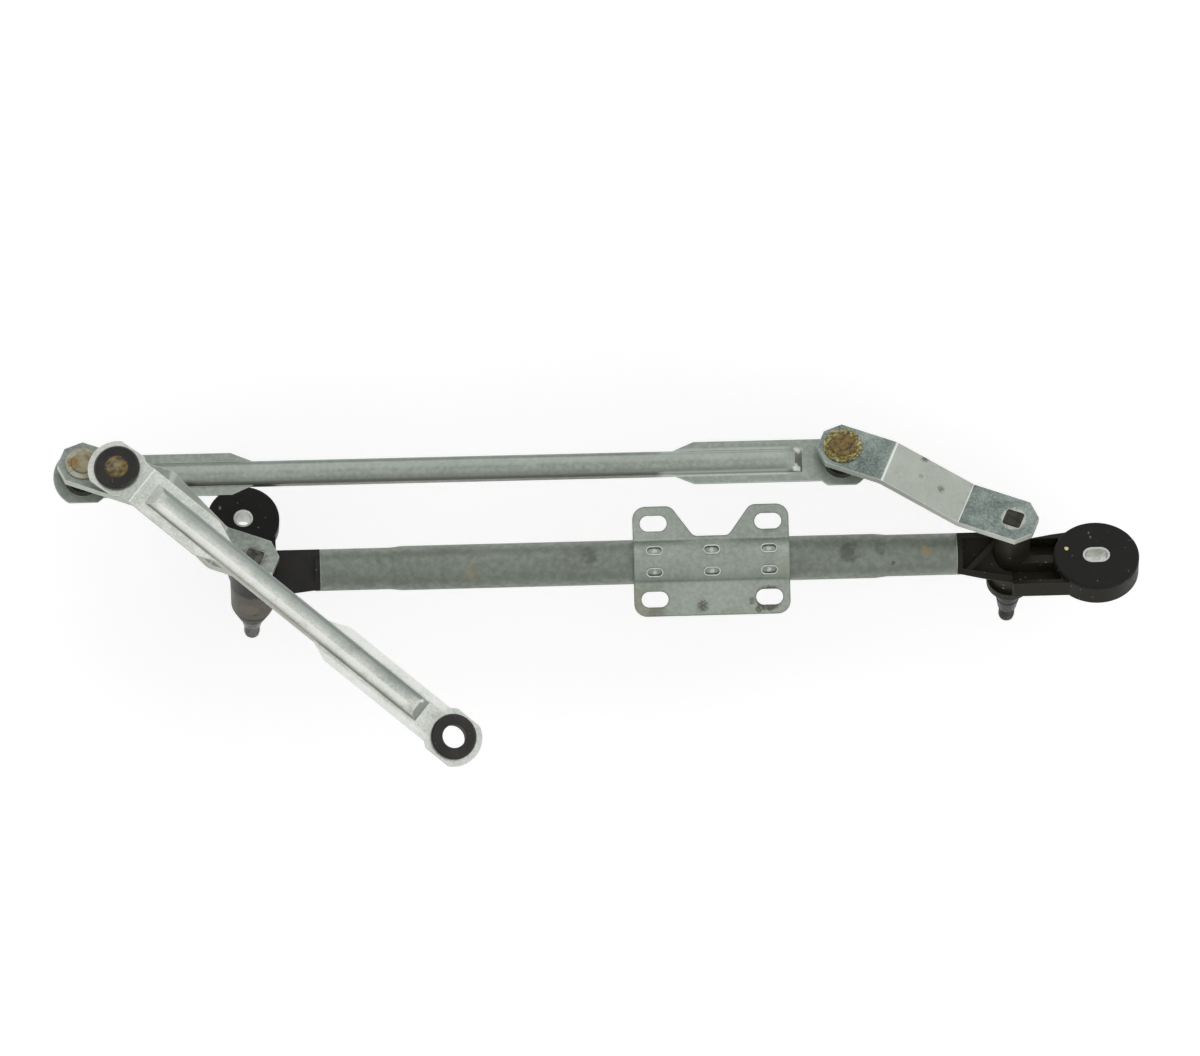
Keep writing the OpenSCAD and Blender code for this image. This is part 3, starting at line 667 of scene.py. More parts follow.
TUBE = ZincFinish(
    "galvanised_tube", (0.27, 0.30, 0.255), (0.185, 0.21, 0.18),
    grime_amount=0.22, mottle=300.0, blotch=14.0, drawn=(0.35, 1.0, 1.0), rough=(0.4, 0.6),
    stains=(
        StainOrPaintedLight((0.116, 0.0025, 0.0035), 0.0, 0.0085, OCHRE, 0.5),
        StainOrPaintedLight((0.098, -0.004, 0.002), 0.0, 0.004, DIRT, 0.7),
        StainOrPaintedLight((0.074, 0.003, 0.0035), 0.0, 0.016, SMUDGE, 0.6, 160.0),
        StainOrPaintedLight((0.092, 0.004, 0.003), 0.0, 0.010, SMUDGE, 0.4, 260.0),
        StainOrPaintedLight((-0.180, 0.005, 0.003), 0.0, 0.006, DIRT, 0.4),
        StainOrPaintedLight((-0.066, 0.004, 0.003), 0.0, 0.014, SMUDGE, 0.45, 220.0),
        StainOrPaintedLight((-0.130, -0.003, 0.003), 0.0, 0.012, OCHRE, 0.2, 320.0),
    ),
)
PLATE = ZincFinish(
    "stamped_zinc_plate", (0.39, 0.435, 0.385), (0.275, 0.31, 0.275),
    grime_amount=0.22, mottle=420.0, blotch=22.0,
    edge=(0.09, 0.09, 0.07), edge_amount=0.85, edge_radius=1.5 * MM,
    stains=(
        StainOrPaintedLight((-0.036, -0.022, 0.0), 0.004, 0.022, OLIVE, 0.35, 260.0),
        StainOrPaintedLight((0.040, -0.004, 0.0), 0.002, 0.020, OLIVE, 0.3, 260.0),
        StainOrPaintedLight((0.010, -0.030, 0.0), 0.002, 0.016, OLIVE, 0.3, 300.0),
        StainOrPaintedLight((0.0304, -0.0212, 0.0), 0.004, 0.0125, DIRT, 0.9, 500.0),
        StainOrPaintedLight((-0.0053, -0.0245, 0.0), 0.0, 0.009, DIRT, 0.8, 1100.0),
        StainOrPaintedLight((0.0250, -0.0270, 0.0), 0.0, 0.0060, DIRT, 0.8, 900.0),
        StainOrPaintedLight((0.0215, -0.0225, 0.0), 0.0, 0.0060, DIRT, 0.6, 900.0),
        StainOrPaintedLight((0.0304, 0.0200, 0.0), 0.003, 0.012, DIRT, 0.35, 900.0),
        StainOrPaintedLight((-0.030, -0.028, 0.0), 0.0, 0.014, DIRT, 0.4, 1000.0),
        *CLINCH_GLINTS,
    ),
)
LINK = ZincFinish(
    "rod_zinc", (0.36, 0.40, 0.355), (0.24, 0.275, 0.245),
    grime_amount=0.2, mottle=420.0, blotch=16.0, drawn=(0.35, 1.0, 1.0),
    # Painted shade on the bead's upper and lower flanks, and a painted highlight on the end walls that face
    # along the rod.
    flanks=(
        PaintedFlank(LINK_UP, 0.35, 0.70, (0.20, 0.23, 0.21), 0.5),
        PaintedFlank(LINK_DOWN, 0.25, 0.60, (0.13, 0.135, 0.105), 0.65),
        PaintedFlank(LINK_ALONG, 0.40, 0.60, (0.52, 0.56, 0.51), 0.6),
    ),
    # Painted shade along the bead's foot, and painted highlights along its top and on both sides of the
    # flare.
    bands=(
        PaintedBand(LINK_FOOT, 0.0005, 0.0045, 0.0075, (0.15, 0.155, 0.13), 0.5),
        PaintedBand(LINK_TOP, 0.0000, 0.0025, 0.0050, (0.50, 0.54, 0.49), 0.4),
        PaintedBand(LINK_FLARE_FOOT, 0.0040, 0.0052, 0.0080, (0.56, 0.60, 0.55), 0.8),
        PaintedBand(LINK_FLARE_TOP, 0.0045, 0.0055, 0.0080, (0.50, 0.54, 0.50), 0.6),
    ),
    stains=(
        StainOrPaintedLight((-0.0685, 0.0520, 0.012), 0.0008, 0.0026, (0.06, 0.03, 0.015), 1.0, 300.0),
        StainOrPaintedLight((-0.290, 0.046, 0.012), 0.0, 0.016, SMUDGE, 0.45, 400.0),
        # Painted highlights at the right end of the bead.
        StainOrPaintedLight((0.0480, 0.0583, 0.0049), 0.0, 0.0070, GLINT, 0.9, 260.0),
        StainOrPaintedLight((0.0471, 0.0486, 0.0078), 0.0, 0.0070, GLINT, 0.9, 260.0),
        StainOrPaintedLight((0.0440, 0.0545, 0.013), 0.0, 0.0070, PAINTED_PALE_LIGHT, 0.3, 300.0),
    ),
)
DRIVE = ZincFinish(
    "bright_rod_zinc", (0.84, 0.86, 0.80), (0.50, 0.535, 0.49),
    grime_amount=0.3, mottle=760.0, blotch=40.0, rough=(0.24, 0.4),
    # A painted highlight stripe runs along the bend of the eye; the slopes keep their tone.
    flat_axis=DRIVE_EYE_AXIS, bend=(0.943, 0.995), painted_slope_share=0.0,
    # Painted shade on the bead's flanks and on its end walls.
    flanks=(
        PaintedFlank(DRIVE_ACROSS, 0.20, 0.45, (0.22, 0.25, 0.23), 0.8),
        PaintedFlank(DRIVE_BACK, 0.50, 0.80, (0.20, 0.19, 0.13), 0.7),
        PaintedFlank(DRIVE_ALONG, 0.40, 0.60, (0.30, 0.34, 0.31), 0.75),
    ),
    # Painted shade on the bead's upper side, a painted highlight along its crown, and painted light on both
    # flanges.
    bands=(
        PaintedBand(DRIVE_BEAD, 0.0000, 0.0050, 0.0072, (0.25, 0.28, 0.26), 0.7),
        PaintedBand(DRIVE_BEAD, -0.0045, -0.0025, 0.0005, (0.96, 0.96, 0.91), 0.6),
        PaintedBand(DRIVE_UPPER_FLANGE, 0.0070, 0.0085, 0.0250, PAINTED_FLANGE_LIGHT, 0.55),
        PaintedBand(DRIVE_LOWER_FLANGE, 0.0066, 0.0080, 0.0250, PAINTED_FLANGE_LIGHT, 0.55),
    ),
    stains=(
        StainOrPaintedLight((-0.300, 0.036, 0.045), 0.0, 0.010, SMUDGE, 0.4, 500.0),
        # Painted glint at the end of the bead.
        StainOrPaintedLight((-0.1600, -0.0716, 0.0508), 0.0, 0.0035, GLINT, 0.9, 260.0),
    ),
)
RIGHT_LEVER = ZincFinish(
    "blue_zinc", (0.36, 0.415, 0.375), (0.12, 0.158, 0.15),
    grime_amount=0.25, mottle=820.0, blotch=70.0, edge_amount=0.85,
    # The sloping face is painted lighter, and a painted highlight stripe runs along its bends.
    flat_axis=SPINDLE_AXIS, ramp=(0.53, 0.555, 0.49), painted_slope_share=0.8,
    stains=(
        StainOrPaintedLight((0.1626, 0.0183, 0.0205), 0.005, 0.0105, (0.62, 0.63, 0.56), 0.75, 420.0),
        StainOrPaintedLight((0.0720, 0.0610, 0.017), 0.006, 0.0135, (0.42, 0.37, 0.14), 0.8, 900.0),
        StainOrPaintedLight((0.1162, 0.0522, 0.0124), 0.0, 0.0070, DIRT, 0.85, 1200.0),
        StainOrPaintedLight((0.1241, 0.0352, 0.0167), 0.0, 0.0060, DIRT, 0.6, 1500.0),
        StainOrPaintedLight((0.1130, 0.0420, 0.0170), 0.0, 0.0050, DIRT, 0.4, 1500.0),
    ),
)
LEFT_LEVER = ZincFinish(
    "lever_zinc", (0.38, 0.42, 0.375), (0.22, 0.25, 0.225),
    grime_amount=0.3, mottle=520.0, blotch=60.0, edge_amount=0.8,
    # The sloping faces are painted lighter, with a faint painted highlight stripe along the bends.
    flat_axis=SPINDLE_AXIS, ramp=(0.46, 0.49, 0.43), bend=(0.64, 0.99), highlight_stripe_amount=0.35,
    stains=(
        StainOrPaintedLight((-0.2476, 0.0079, 0.012), 0.004, 0.013, DIRT, 0.55, 800.0),
        StainOrPaintedLight((-0.345, 0.061, 0.025), 0.0, 0.008, (0.30, 0.19, 0.04), 0.8, 800.0),
    ),
)
BRIGHT = ZincFinish(
    "bright_zinc", (0.72, 0.75, 0.70), (0.48, 0.50, 0.46),
    grime_amount=0.25, mottle=900.0, blotch=120.0, rough=(0.25, 0.4),
)
HOUSING = MouldedFinish(
    "housing_plastic", (0.0150, 0.0138, 0.0085),
    dust=(0.075, 0.07, 0.045), dust_amount=0.16, shine=0.16,
)
LEFT_HOUSING = MouldedFinish(
    "dusty_housing_plastic", (0.0085, 0.008, 0.007),
    dust=(0.07, 0.06, 0.045), dust_amount=0.22,
    stains=(
        StainOrPaintedLight((-0.2476, -0.017, -0.022), 0.018, 0.030, (0.095, 0.088, 0.058), 0.9, 240.0),
        StainOrPaintedLight((-0.2500, -0.020, -0.012), 0.002, 0.012, (0.15, 0.13, 0.09), 0.6, 500.0),
    ),
)
RUBBER = MouldedFinish(
    "rubber", (0.0085, 0.0085, 0.008), rough=(0.6, 0.8),
    dust=(0.08, 0.075, 0.06), dust_amount=0.14, grain=900.0, shine=0.2, specks=0.4,
)
SOCKET = MouldedFinish(
    "socket_plastic", (0.008, 0.007, 0.006), rough=(0.22, 0.4),
    dust=(0.09, 0.06, 0.03), dust_amount=0.2, shine=0.45,
)
WASHER = MouldedFinish("washer_plastic", (0.10, 0.095, 0.08), rough=(0.4, 0.6))
GREASE = GreaseFinish(
    "greased_steel", gold=(0.23, 0.165, 0.04), brown=(0.04, 0.022, 0.007),
    steel=(0.36, 0.35, 0.23), scale=260.0,
)
RUSTY_RIVET = GreaseFinish(
    "rusty_rivet", gold=(0.24, 0.145, 0.022), brown=(0.045, 0.025, 0.007),
    steel=(0.22, 0.21, 0.085), scale=420.0,
)
GOLD_CROWN = GreaseFinish(
    "gold_crown", gold=(0.29, 0.23, 0.04), brown=(0.025, 0.02, 0.006),
    steel=(0.64, 0.60, 0.32), scale=900.0, steel_share=0.6,
)
GREY_CROWN = GreaseFinish(
    "grey_crown", gold=(0.40, 0.385, 0.28), brown=(0.29, 0.25, 0.14),
    steel=(0.46, 0.49, 0.43), scale=240.0, steel_share=0.8, stains=(LEFT_RIVET_GOLD,),
)
TAN_RIVET = GreaseFinish(
    "tan_rivet", gold=(0.37, 0.335, 0.21), brown=(0.24, 0.18, 0.09),
    steel=(0.39, 0.40, 0.31), scale=200.0, steel_share=0.6, stains=(LEFT_RIVET_GOLD,),
)
SPINDLE = SteelFinish(
    "spindle_steel", (0.12, 0.12, 0.105), (0.04, 0.042, 0.035), rough=(0.2, 0.4),
)
# A darker copy of the spindle steel, for the right spindle.
DARK_SPINDLE = SteelFinish(
    "dark_spindle_steel", (0.05, 0.05, 0.042), (0.018, 0.018, 0.014),
    rough=(0.2, 0.4), metallic=0.6, edge_amount=0.12,
)
SPRING = SteelFinish("spring_steel", (0.22, 0.22, 0.21), (0.10, 0.10, 0.10))
BRASS = SteelFinish("brass_speck", (0.85, 0.72, 0.36), (0.5, 0.4, 0.16), rough=(0.12, 0.3))
BRONZE = SteelFinish("bronze", (0.42, 0.27, 0.11), (0.24, 0.14, 0.06))

SIDES = ("left", "right")
PAIR_FINISH: dict[str, Finish] = {
    "grommet": RUBBER,
    "sleeve": BRIGHT,
    "upper_bush": BRONZE,
    "lower_bush": BRONZE,
    "seal_cap": HOUSING,
    "rod_stud": GREASE,
    "thrust_washer": WASHER,
    "circlip": SPRING,
}
NODE_FINISH: dict[str, Finish] = {
    "support_tube": TUBE,
    "motor_plate": PLATE,
    "left_housing": LEFT_HOUSING,
    "right_housing": HOUSING,
    "left_spindle": SPINDLE,
    "right_spindle": DARK_SPINDLE,
    "left_lever": LEFT_LEVER,
    "right_lever": RIGHT_LEVER,
    "left_drive_stud": GREASE,
    "link_rod": LINK,
    "link_rod_left_socket": SOCKET,
    "link_rod_right_socket": SOCKET,
    "drive_rod": DRIVE,
    "drive_rod_upper_socket": SOCKET,
    "drive_rod_free_socket": SOCKET,
    **{f"{side}_{name}": finish for name, finish in PAIR_FINISH.items() for side in SIDES},
}


@dataclass
class Dresser:
    """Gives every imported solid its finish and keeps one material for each."""

    made: dict[str, bpy.types.Material] = field(default_factory=dict)

    def material(self, finish: Finish) -> bpy.types.Material:
        """Builds a finish the first time that it is asked for.

        Args:
            finish: the finish.

        Returns:
            Its one material.
        """
        if finish.name not in self.made:
            self.made[finish.name] = finish.material()
        return self.made[finish.name]

    def dress(self, piece: bpy.types.Object, finish: Finish) -> None:
        """Puts a finish on every slot of a piece.

        Args:
            piece: the piece.
            finish: its finish.
        """
        material = self.material(finish)
        slots = piece.data.materials
        if not slots:
            slots.append(material)
        for index in range(len(slots)):
            slots[index] = material
        LOG.info("finish of %s: %s", piece.name, finish.name)

    def add(self, piece: bpy.types.Object, finish: Finish, body: Body, slot: str) -> None:
        """Finishes a new piece and ties it to its body.

        Args:
            piece: the piece, in its place.
            finish: its finish.
            body: body that it rides.
            slot: material slot of the record; not used.
        """
        self.dress(piece, finish)
        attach(piece, body.value)

    def dress_nodes(self) -> None:
        """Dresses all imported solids."""
        for name, finish in NODE_FINISH.items():
            self.dress(frame["nodes"][name], finish)


def upright(origin: Vector, axis: Vector) -> Matrix:
    """Frame whose Z axis runs along the given axis.

    Args:
        origin: where the frame sits.
        axis: direction of Z.

    Returns:
        The frame's matrix.
    """
    return Matrix.Translation(origin) @ axis.to_track_quat("Z", "Y").to_matrix().to_4x4()


def begin(name: str, shape: Callable, **sizes: Union[int, float, str]) -> bpy.types.Object:
    """Adds a primitive about the origin and opens it for editing.

    Args:
        name: name of the piece.
        shape: Blender's operator for the primitive.
        sizes: the operator's settings.

    Returns:
        The piece.
    """
    bpy.ops.object.select_all(action="DESELECT")
    shape(**sizes)
    made = bpy.context.active_object
    made.name = name
    made.data.name = name
    bpy.ops.object.mode_set(mode="EDIT")
    bpy.ops.mesh.select_all(action="SELECT")
    return made


def select(kind: str, test: Callable[..., bool]) -> None:
    """Selects faces or vertices in edit mode.

    Args:
        kind: FACE or VERT.
        test: says of a face or vertex whether it is taken.
    """
    bpy.ops.mesh.select_mode(type=kind)
    bpy.ops.mesh.select_all(action="DESELECT")
    bpy.ops.object.mode_set(mode="OBJECT")
    mesh = bpy.context.active_object.data
    for item in mesh.polygons if kind == "FACE" else mesh.vertices:
        item.select = test(item)
    bpy.ops.object.mode_set(mode="EDIT")


def settle(piece: bpy.types.Object, place: Matrix, smooth: float) -> None:
    """Puts a piece in its place, in its mesh, and smooths its shading.

    Args:
        piece: the piece, modelled about the origin.
        place: frame that it goes to.
        smooth: angle in degrees under which edges are smoothed.
    """
    bpy.ops.object.mode_set(mode="OBJECT")
    bpy.ops.object.select_all(action="DESELECT")
    piece.select_set(True)
    bpy.context.view_layer.objects.active = piece
    bpy.ops.object.shade_smooth_by_angle(angle=math.radians(smooth))
    piece.matrix_world = place
    bpy.ops.object.transform_apply(location=True, rotation=True, scale=True)


@dataclass
class SpindleEnd:
    """Thread and knurl on the end of a spindle, as the wiper arm finds it."""

    name: str
    body: Body
    middle: Vector
    axis: Vector
    length: float
    radius: float
    finish: SteelFinish
    pitch: float = 1.25 * MM
    ridge_share: float = 0.42
    sunk_share: float = 0.1
    start_share: float = 0.4
    turn_steps: int = 32
    knurl_len: float = 8.6 * MM
    knurl_top: float = 6.0 * MM
    knurl_foot: float = 4.8 * MM
    teeth: int = 44
    tooth_inset: float = 0.16 * MM
    tooth_rise: float = 0.34 * MM

    def thread(self, dresser: Dresser) -> None:
        """Winds a small triangular ridge round the end.

        Args:
            dresser: finishes the piece.
        """
        piece = begin(
            f"{self.name}_thread", bpy.ops.mesh.primitive_circle_add,
            vertices=3, radius=self.ridge_share * self.pitch, fill_type="NGON",
        )
        bpy.ops.transform.rotate(
            value=math.pi / 2, orient_axis="X", center_override=(0.0, 0.0, 0.0)
        )
        bpy.ops.transform.translate(
            value=(self.radius - self.sunk_share * self.pitch, 0.0, 0.0)
        )
        bpy.ops.mesh.delete(type="ONLY_FACE")
        bpy.ops.object.mode_set(mode="OBJECT")
        wind = piece.modifiers.new("wind", "SCREW")
        wind.angle = 2 * math.pi
        wind.screw_offset = self.pitch
        wind.iterations = int((self.length - self.pitch) / self.pitch)
        wind.steps = self.turn_steps
        wind.render_steps = self.turn_steps
        bpy.ops.object.modifier_apply(modifier=wind.name)
        bpy.ops.object.mode_set(mode="EDIT")
        bpy.ops.mesh.select_all(action="SELECT")
        bpy.ops.mesh.fill_holes(sides=4)
        bpy.ops.mesh.select_all(action="SELECT")
        bpy.ops.mesh.normals_make_consistent(inside=False)
        start = self.middle - self.axis * (self.length / 2 - self.start_share * self.pitch)
        settle(piece, upright(start, self.axis), smooth=35.0)
        dresser.add(piece, self.finish, self.body, "spindle_steel")

    def knurl(self, dresser: Dresser) -> None:
        """Raises straight teeth on the cone between the thread and the journal.

        Args:
            dresser: finishes the piece.
        """
        piece = begin(
            f"{self.name}_knurl", bpy.ops.mesh.primitive_cone_add, vertices=self.teeth,
            radius1=self.knurl_top, radius2=self.knurl_foot, depth=self.knurl_len,
        )
        select("FACE", lambda face: abs(face.normal.z) < WALL_NORMAL)
        bpy.ops.mesh.inset(
            thickness=self.tooth_inset, depth=self.tooth_rise, use_individual=True
        )
        centre = self.middle - self.axis * (self.length + self.knurl_len) / 2
        settle(piece, upright(centre, self.axis), smooth=20.0)
        dresser.add(piece, self.finish, self.body, "spindle_steel")

    def build(self, dresser: Dresser) -> None:
        """Builds the spindle's end.

        Args:
            dresser: finishes the pieces.
        """
        self.thread(dresser)
        self.knurl(dresser)
        LOG.info("built %s", self.name)


@dataclass
class RivetCrown:
    """What the press leaves on a swaged stud: a toothed skirt and a dished head."""

    name: str
    body: Body
    top: Vector
    axis: Vector
    skirt_finish: GreaseFinish
    head_finish: GreaseFinish
    skirt_radius: float = 9.2 * MM
    head_radius: float = 6.2 * MM
    height: float = 1.0 * MM
    teeth: int = 34
    tooth_inset: float = 0.24 * MM
    tooth_rise: float = 0.5 * MM
    tooth_ring: float = 0.86
    skirt_drop: float = 1.1 * MM
    head_drop: float = 0.3 * MM
    head_sides: int = 48
    skirt_steps: tuple[tuple[float, float], ...] = (
        (1.0 * MM, 0.45 * MM), (1.0 * MM, 0.0), (0.8 * MM, -0.4 * MM),
    )
    head_steps: tuple[tuple[float, float], ...] = (
        (0.7 * MM, 0.4 * MM), (0.8 * MM, 0.0), (0.8 * MM, -0.5 * MM), (1.6 * MM, 0.3 * MM),
    )

    def disc(
        self, name: str, sides: int, radius: float, steps: Sequence[tuple[float, float]]
    ) -> bpy.types.Object:
        """Starts a disc whose top is stepped by insets, and leaves it in edit mode.

        Args:
            name: name of the piece.
            sides: sides of the disc.
            radius: its radius.
            steps: width and rise of each step, from the rim inwards.

        Returns:
            The piece.
        """
        piece = begin(
            name, bpy.ops.mesh.primitive_cylinder_add,
            vertices=sides, radius=radius, depth=self.height,
        )
        select("FACE", lambda face: face.normal.z > TOP_NORMAL)
        for width, rise in steps:
            bpy.ops.mesh.inset(thickness=width, depth=rise)
        return piece

    def skirt(self, dresser: Dresser) -> None:
        """Builds the toothed skirt.

        Args:
            dresser: finishes the piece.
        """
        piece = self.disc(
            f"{self.name}_skirt", self.teeth, self.skirt_radius, self.skirt_steps
        )
        ring = self.tooth_ring * self.skirt_radius
        select(
            "FACE",
            lambda face: abs(face.normal.z) < RIM_NORMAL and face.center.xy.length > ring,
        )
        bpy.ops.mesh.inset(
            thickness=self.tooth_inset, depth=self.tooth_rise, use_individual=True
        )
        settle(piece, upright(self.top - self.axis * self.skirt_drop, self.axis), smooth=25.0)
        dresser.add(piece, self.skirt_finish, self.body, "greased_steel")

    def head(self, dresser: Dresser) -> None:
        """Builds the dished head inside the skirt.

        Args:
            dresser: finishes the piece.
        """
        piece = self.disc(
            f"{self.name}_head", self.head_sides, self.head_radius, self.head_steps
        )
        settle(piece, upright(self.top - self.axis * self.head_drop, self.axis), smooth=40.0)
        dresser.add(piece, self.head_finish, self.body, "greased_steel")

    def build(self, dresser: Dresser) -> None:
        """Builds the crown.

        Args:
            dresser: finishes the pieces.
        """
        self.skirt(dresser)
        self.head(dresser)
        LOG.info("built %s", self.name)


@dataclass
class ClinchRim:
    """Raised oval rim that the clinching punch leaves on the motor plate."""

    name: str
    centre: Vector
    axis: Vector
    length: float = 8.6 * MM
    width: float = 4.8 * MM
    bead: float = 0.42 * MM
    middle_gap: float = 1e-6

    def build(self, dresser: Dresser) -> None:
        """Builds the rim from a ring drawn out along the tube.

        Args:
            dresser: finishes the piece.
        """
        reach = (self.length - self.width) / 2
        piece = begin(
            self.name, bpy.ops.mesh.primitive_torus_add, major_radius=self.width / 2,
            minor_radius=self.bead, major_segments=40, minor_segments=10,
        )
        for side in (-1, 1):
            select("VERT", lambda vertex: side * vertex.co.x > self.middle_gap)
            bpy.ops.transform.translate(value=(side * reach, 0.0, 0.0))
        settle(piece, self.frame(), smooth=60.0)
        # The rim is finished brighter than the plate round it: a painted highlight on the raised rim.
        dresser.add(piece, BRIGHT, Body.FRAME, "bright_zinc")
        LOG.info("built %s", self.name)

    def frame(self) -> Matrix:
        """Frame with X along the tube and Z out of the saddle.

        Returns:
            The frame's matrix.
        """
        along = Vector((1.0, 0.0, 0.0))
        turn = Matrix((along, self.axis.cross(along), self.axis)).transposed()
        return Matrix.Translation(self.centre) @ turn.to_4x4()


@dataclass
class GreaseCap:
    """Old grease that sits on a ball inside its socket."""

    name: str
    body: Body
    centre: Vector
    axis: Vector
    radius: float
    cut: float = 0.8
    lumps: float = 0.5 * MM
    lump_size: float = 4.0 * MM
    level: float = 0.65

    def build(self, dresser: Dresser) -> None:
        """Builds the cap from a sphere's top, roughened by clouds.

        Args:
            dresser: finishes the piece.
        """
        piece = begin(
            self.name, bpy.ops.mesh.primitive_uv_sphere_add,
            segments=48, ring_count=32, radius=self.radius,
        )
        bpy.ops.mesh.bisect(
            plane_co=(0.0, 0.0, self.cut * self.radius), plane_no=(0.0, 0.0, 1.0),
            use_fill=True, clear_inner=True,
        )
        bpy.ops.object.mode_set(mode="OBJECT")
        clouds = bpy.data.textures.new(self.name, "CLOUDS")
        clouds.noise_scale = self.lump_size
        rough = piece.modifiers.new("lumps", "DISPLACE")
        rough.texture = clouds
        rough.strength = self.lumps
        rough.mid_level = self.level
        bpy.ops.object.modifier_apply(modifier=rough.name)
        settle(piece, upright(self.centre, self.axis), smooth=60.0)
        dresser.add(piece, GREASE, self.body, "greased_steel")
        LOG.info("built %s", self.name)


@dataclass
class Bead:
    """Small bright bead of metal caught in the face of the right ear."""

    name: str
    centre: Vector
    axis: Vector
    radius: float = 1.3 * MM
    flatness: float = 0.5

    def build(self, dresser: Dresser) -> None:
        """Builds the bead.

        Args:
            dresser: finishes the piece.
        """
        piece = begin(
            self.name, bpy.ops.mesh.primitive_uv_sphere_add,
            segments=24, ring_count=16, radius=self.radius,
        )
        bpy.ops.transform.resize(
            value=(1.0, 1.0, self.flatness), center_override=(0.0, 0.0, 0.0)
        )
        settle(piece, upright(self.centre, self.axis), smooth=60.0)
        dresser.add(piece, BRASS, Body.FRAME, "bronze")
        LOG.info("built %s", self.name)


@dataclass
class Linkage:
    """Places of the joints and mounts, and the small forms that sit on them."""

    dresser: Dresser
    joints: dict[str, dict]
    mounts: dict[str, dict]
    rivet_rise: float = 14.6 * MM
    right_skirt: float = 10.2 * MM
    right_head: float = 6.8 * MM
    lever_step: float = 21.0 * MM
    ball_radius: float = 8.0 * MM
    grease_share: float = 0.985
    clinch_angle: float = 25.0
    saddle_radius: float = 14.0 * MM
    tube_z: float = -8.0 * MM
    bead_rise: float = 7.8 * MM
    bead_x: float = -16.0 * MM
    bead_up: float = 4.7 * MM

    @classmethod
    def from_frame(cls, dresser: Dresser) -> "Linkage":
        """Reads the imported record's joints and mounts.

        Args:
            dresser: finishes the pieces.

        Returns:
            The linkage.
        """
        joints = {joint["name"]: joint for joint in frame["joints"]}
        mounts = {mount["name"]: mount for mount in frame["record"]["mounts"]}
        return cls(dresser, joints, mounts)

    def joint(self, name: str) -> Vector:
        """Place of a joint."""
        return Vector(self.joints[name]["pos_m"])

    def spindle_ends(self) -> None:
        """Builds the thread and knurl of both spindles."""
        for side, body in zip(SIDES, (Body.LEFT_ARM, Body.RIGHT_ARM)):
            mount = self.mounts[f"{side}_wiper_arm"]
            sizes = mount["dims"]
            SpindleEnd(
                f"{side}_spindle_end", body, Vector(mount["pos_m"]), Vector(mount["axis"]),
                sizes["length_mm"] * MM, sizes["r_mm"] * MM, NODE_FINISH[f"{side}_spindle"],
            ).build(self.dresser)

    def rivets(self) -> None:
        """Builds the crowns of the link rod's studs."""
        axis = Vector(self.joints["left_spindle_turn"]["axis"])
        rise = axis * self.rivet_rise
        left_ball = self.joint("link_rod_pivot")
        between = self.joint("right_spindle_turn") - self.joint("left_spindle_turn")
        right_ball = left_ball + between - axis * self.lever_step
        RivetCrown(
            "left_rivet", Body.LEFT_ARM, left_ball + rise, axis, GREY_CROWN, TAN_RIVET
        ).build(self.dresser)
        RivetCrown(
            "right_rivet", Body.RIGHT_ARM, right_ball + rise, axis, GOLD_CROWN, RUSTY_RIVET,
            skirt_radius=self.right_skirt, head_radius=self.right_head,
        ).build(self.dresser)

    def clinch_rims(self) -> None:
        """Builds the rims of the motor plate's clinch marks."""
        for column in CLINCH_COLUMNS:
            for row in CLINCH_ROWS:
                lean = math.radians(self.clinch_angle) * row
                out = Vector((0.0, math.sin(lean), math.cos(lean)))
                base = Vector((column * CLINCH_PITCH, 0.0, self.tube_z))
                name = f"clinch_rim_{column + 1}_{(row + 1) // 2}"
                ClinchRim(name, base + out * self.saddle_radius, out).build(self.dresser)

    def ear_bead(self) -> None:
        """Builds the bright bead on the right ear."""
        ear = self.mounts["right_ear"]
        axis = Vector(ear["axis"])
        up = axis.cross(Vector((1.0, 0.0, 0.0)))
        face = Vector(ear["pos_m"]) + axis * self.bead_rise
        place = face + Vector((self.bead_x, 0.0, 0.0)) + up * self.bead_up
        Bead("right_ear_bead", place, axis).build(self.dresser)

    def build(self) -> None:
        """Builds all the small forms."""
        self.spindle_ends()
        self.rivets()
        self.clinch_rims()
        GreaseCap(
            "drive_ball_grease", Body.LEFT_ARM, self.joint("drive_rod_swing"),
            Vector(DRIVE_EYE_AXIS), self.ball_radius * self.grease_share,
        ).build(self.dresser)
        self.ear_bead()


@dataclass(frozen=True)
class Lamp:
    """A square area light."""

    name: str
    place: Place
    size: float
    power: float


KEY = Lamp("key", (0.55, 1.5, 1.25), size=2.0, power=4.5)
FILL = Lamp("fill", (1.3, -1.0, 1.2), size=1.2, power=4.0)


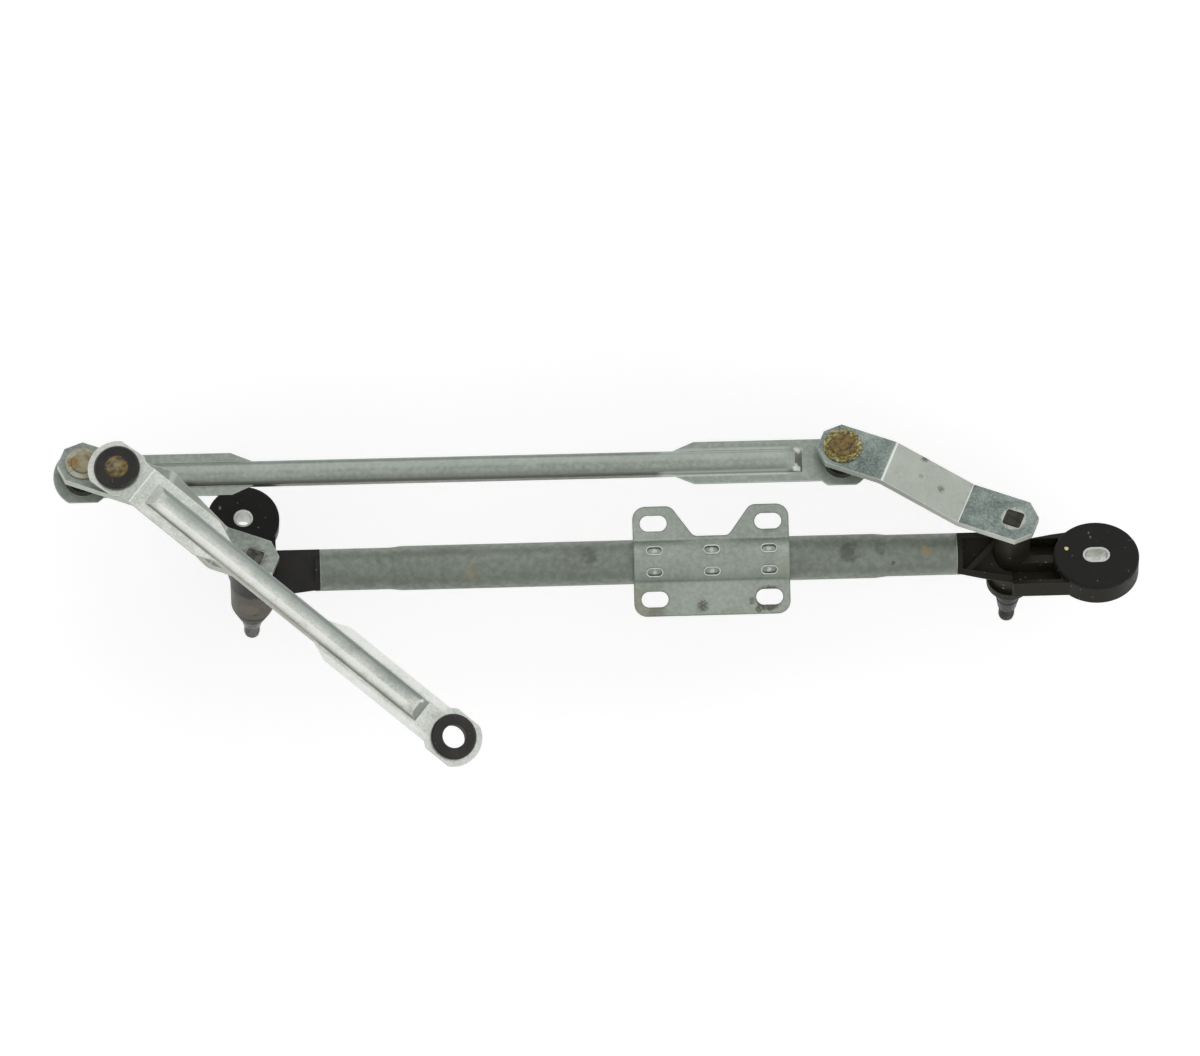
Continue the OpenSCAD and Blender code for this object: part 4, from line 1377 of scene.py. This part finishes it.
@dataclass
class Studio:
    """Pale floor, soft lights and the camera above the motor plate."""

    target: Vector = field(default_factory=lambda: Vector((-0.0598, 0.0189, 0.0)))
    up: Vector = field(default_factory=lambda: Vector((0.02566, 0.99967, 0.0)))
    lean: float = math.radians(2.6)
    distance: float = 12.0
    lens: float = 666.7
    sensor: float = 36.0
    clip_end: float = 40.0
    floor_z: float = -0.1040
    floor_size: float = 6.0
    floor_glow: float = 0.28
    floor_tones: tuple[Colour, Colour] = ((0.93, 0.93, 0.93), (0.96, 0.96, 0.96))
    horizon: float = 0.5
    zenith: float = 0.88

    def camera(self) -> None:
        """Places the camera."""
        data = bpy.data.cameras.new("camera")
        data.lens = self.lens
        data.sensor_width = self.sensor
        data.clip_end = self.clip_end
        eye = bpy.data.objects.new("camera", data)
        bpy.context.scene.collection.objects.link(eye)
        back = Vector((-math.sin(self.lean), 0.0, math.cos(self.lean)))
        right = self.up.cross(back).normalized()
        turn = Matrix((right, back.cross(right), back)).transposed()
        eye.matrix_world = Matrix.Translation(self.target + back * self.distance) @ turn.to_4x4()
        bpy.context.scene.camera = eye

    def light(self, lamp: Lamp) -> None:
        """Adds an area light that faces the target.

        Args:
            lamp: the light's place, size and power.
        """
        data = bpy.data.lights.new(lamp.name, "AREA")
        data.shape = "SQUARE"
        data.size = lamp.size
        data.energy = lamp.power
        made = bpy.data.objects.new(lamp.name, data)
        bpy.context.scene.collection.objects.link(made)
        made.location = lamp.place
        made.rotation_euler = (self.target - made.location).to_track_quat("-Z", "Y").to_euler()

    def world(self) -> None:
        """Soft white surroundings, brighter overhead."""
        world = bpy.data.worlds.new("studio")
        bpy.context.scene.world = world
        world.use_nodes = True
        tree = world.node_tree
        tree.nodes.clear()
        place = tree.nodes.new("ShaderNodeTexCoord")
        parts = tree.nodes.new("ShaderNodeSeparateXYZ")
        rise = tree.nodes.new("ShaderNodeMapRange")
        rise.inputs["To Min"].default_value = self.horizon
        rise.inputs["To Max"].default_value = self.zenith
        tree.links.new(place.outputs["Generated"], parts.inputs[0])
        tree.links.new(parts.outputs["Z"], rise.inputs["Value"])
        soft = tree.nodes.new("ShaderNodeBackground")
        soft.inputs["Color"].default_value = (1.0, 1.0, 1.0, 1.0)
        tree.links.new(rise.outputs["Result"], soft.inputs["Strength"])
        out = tree.nodes.new("ShaderNodeOutputWorld")
        tree.links.new(soft.outputs[0], out.inputs["Surface"])

    def floor(self) -> None:
        """Pale floor just under the lowest point that any pose reaches."""
        bpy.ops.mesh.primitive_plane_add(
            size=self.floor_size, location=(0.0, 0.0, self.floor_z)
        )
        floor = bpy.context.active_object
        floor.name = "floor"
        g = Graph("floor")
        path = g.node("ShaderNodeLightPath").outputs
        seen = g.maths("MAXIMUM", path["Is Camera Ray"], path["Is Glossy Ray"])
        seen = g.maths("MAXIMUM", seen, path["Is Transmission Ray"])
        material = g.surface(
            Base_Color=g.mix(g.noise(3.0, detail=2.0), *self.floor_tones),
            Roughness=0.9,
            Emission_Color=(1.0, 1.0, 1.0, 1.0),
            Emission_Strength=g.times(seen, self.floor_glow),
        )
        floor.data.materials.append(material)

    def build(self) -> None:
        """Sets up the whole studio."""
        self.world()
        self.floor()
        for lamp in (KEY, FILL):
            self.light(lamp)
        self.camera()
        bpy.context.scene.view_settings.view_transform = "Standard"
        LOG.info("studio ready")


def main() -> None:
    """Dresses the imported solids, adds the small forms and sets up the studio."""
    logging.basicConfig(level=logging.INFO)
    dresser = Dresser()
    dresser.dress_nodes()
    Linkage.from_frame(dresser).build()
    Studio().build()


if __name__ == "__main__":
    main()
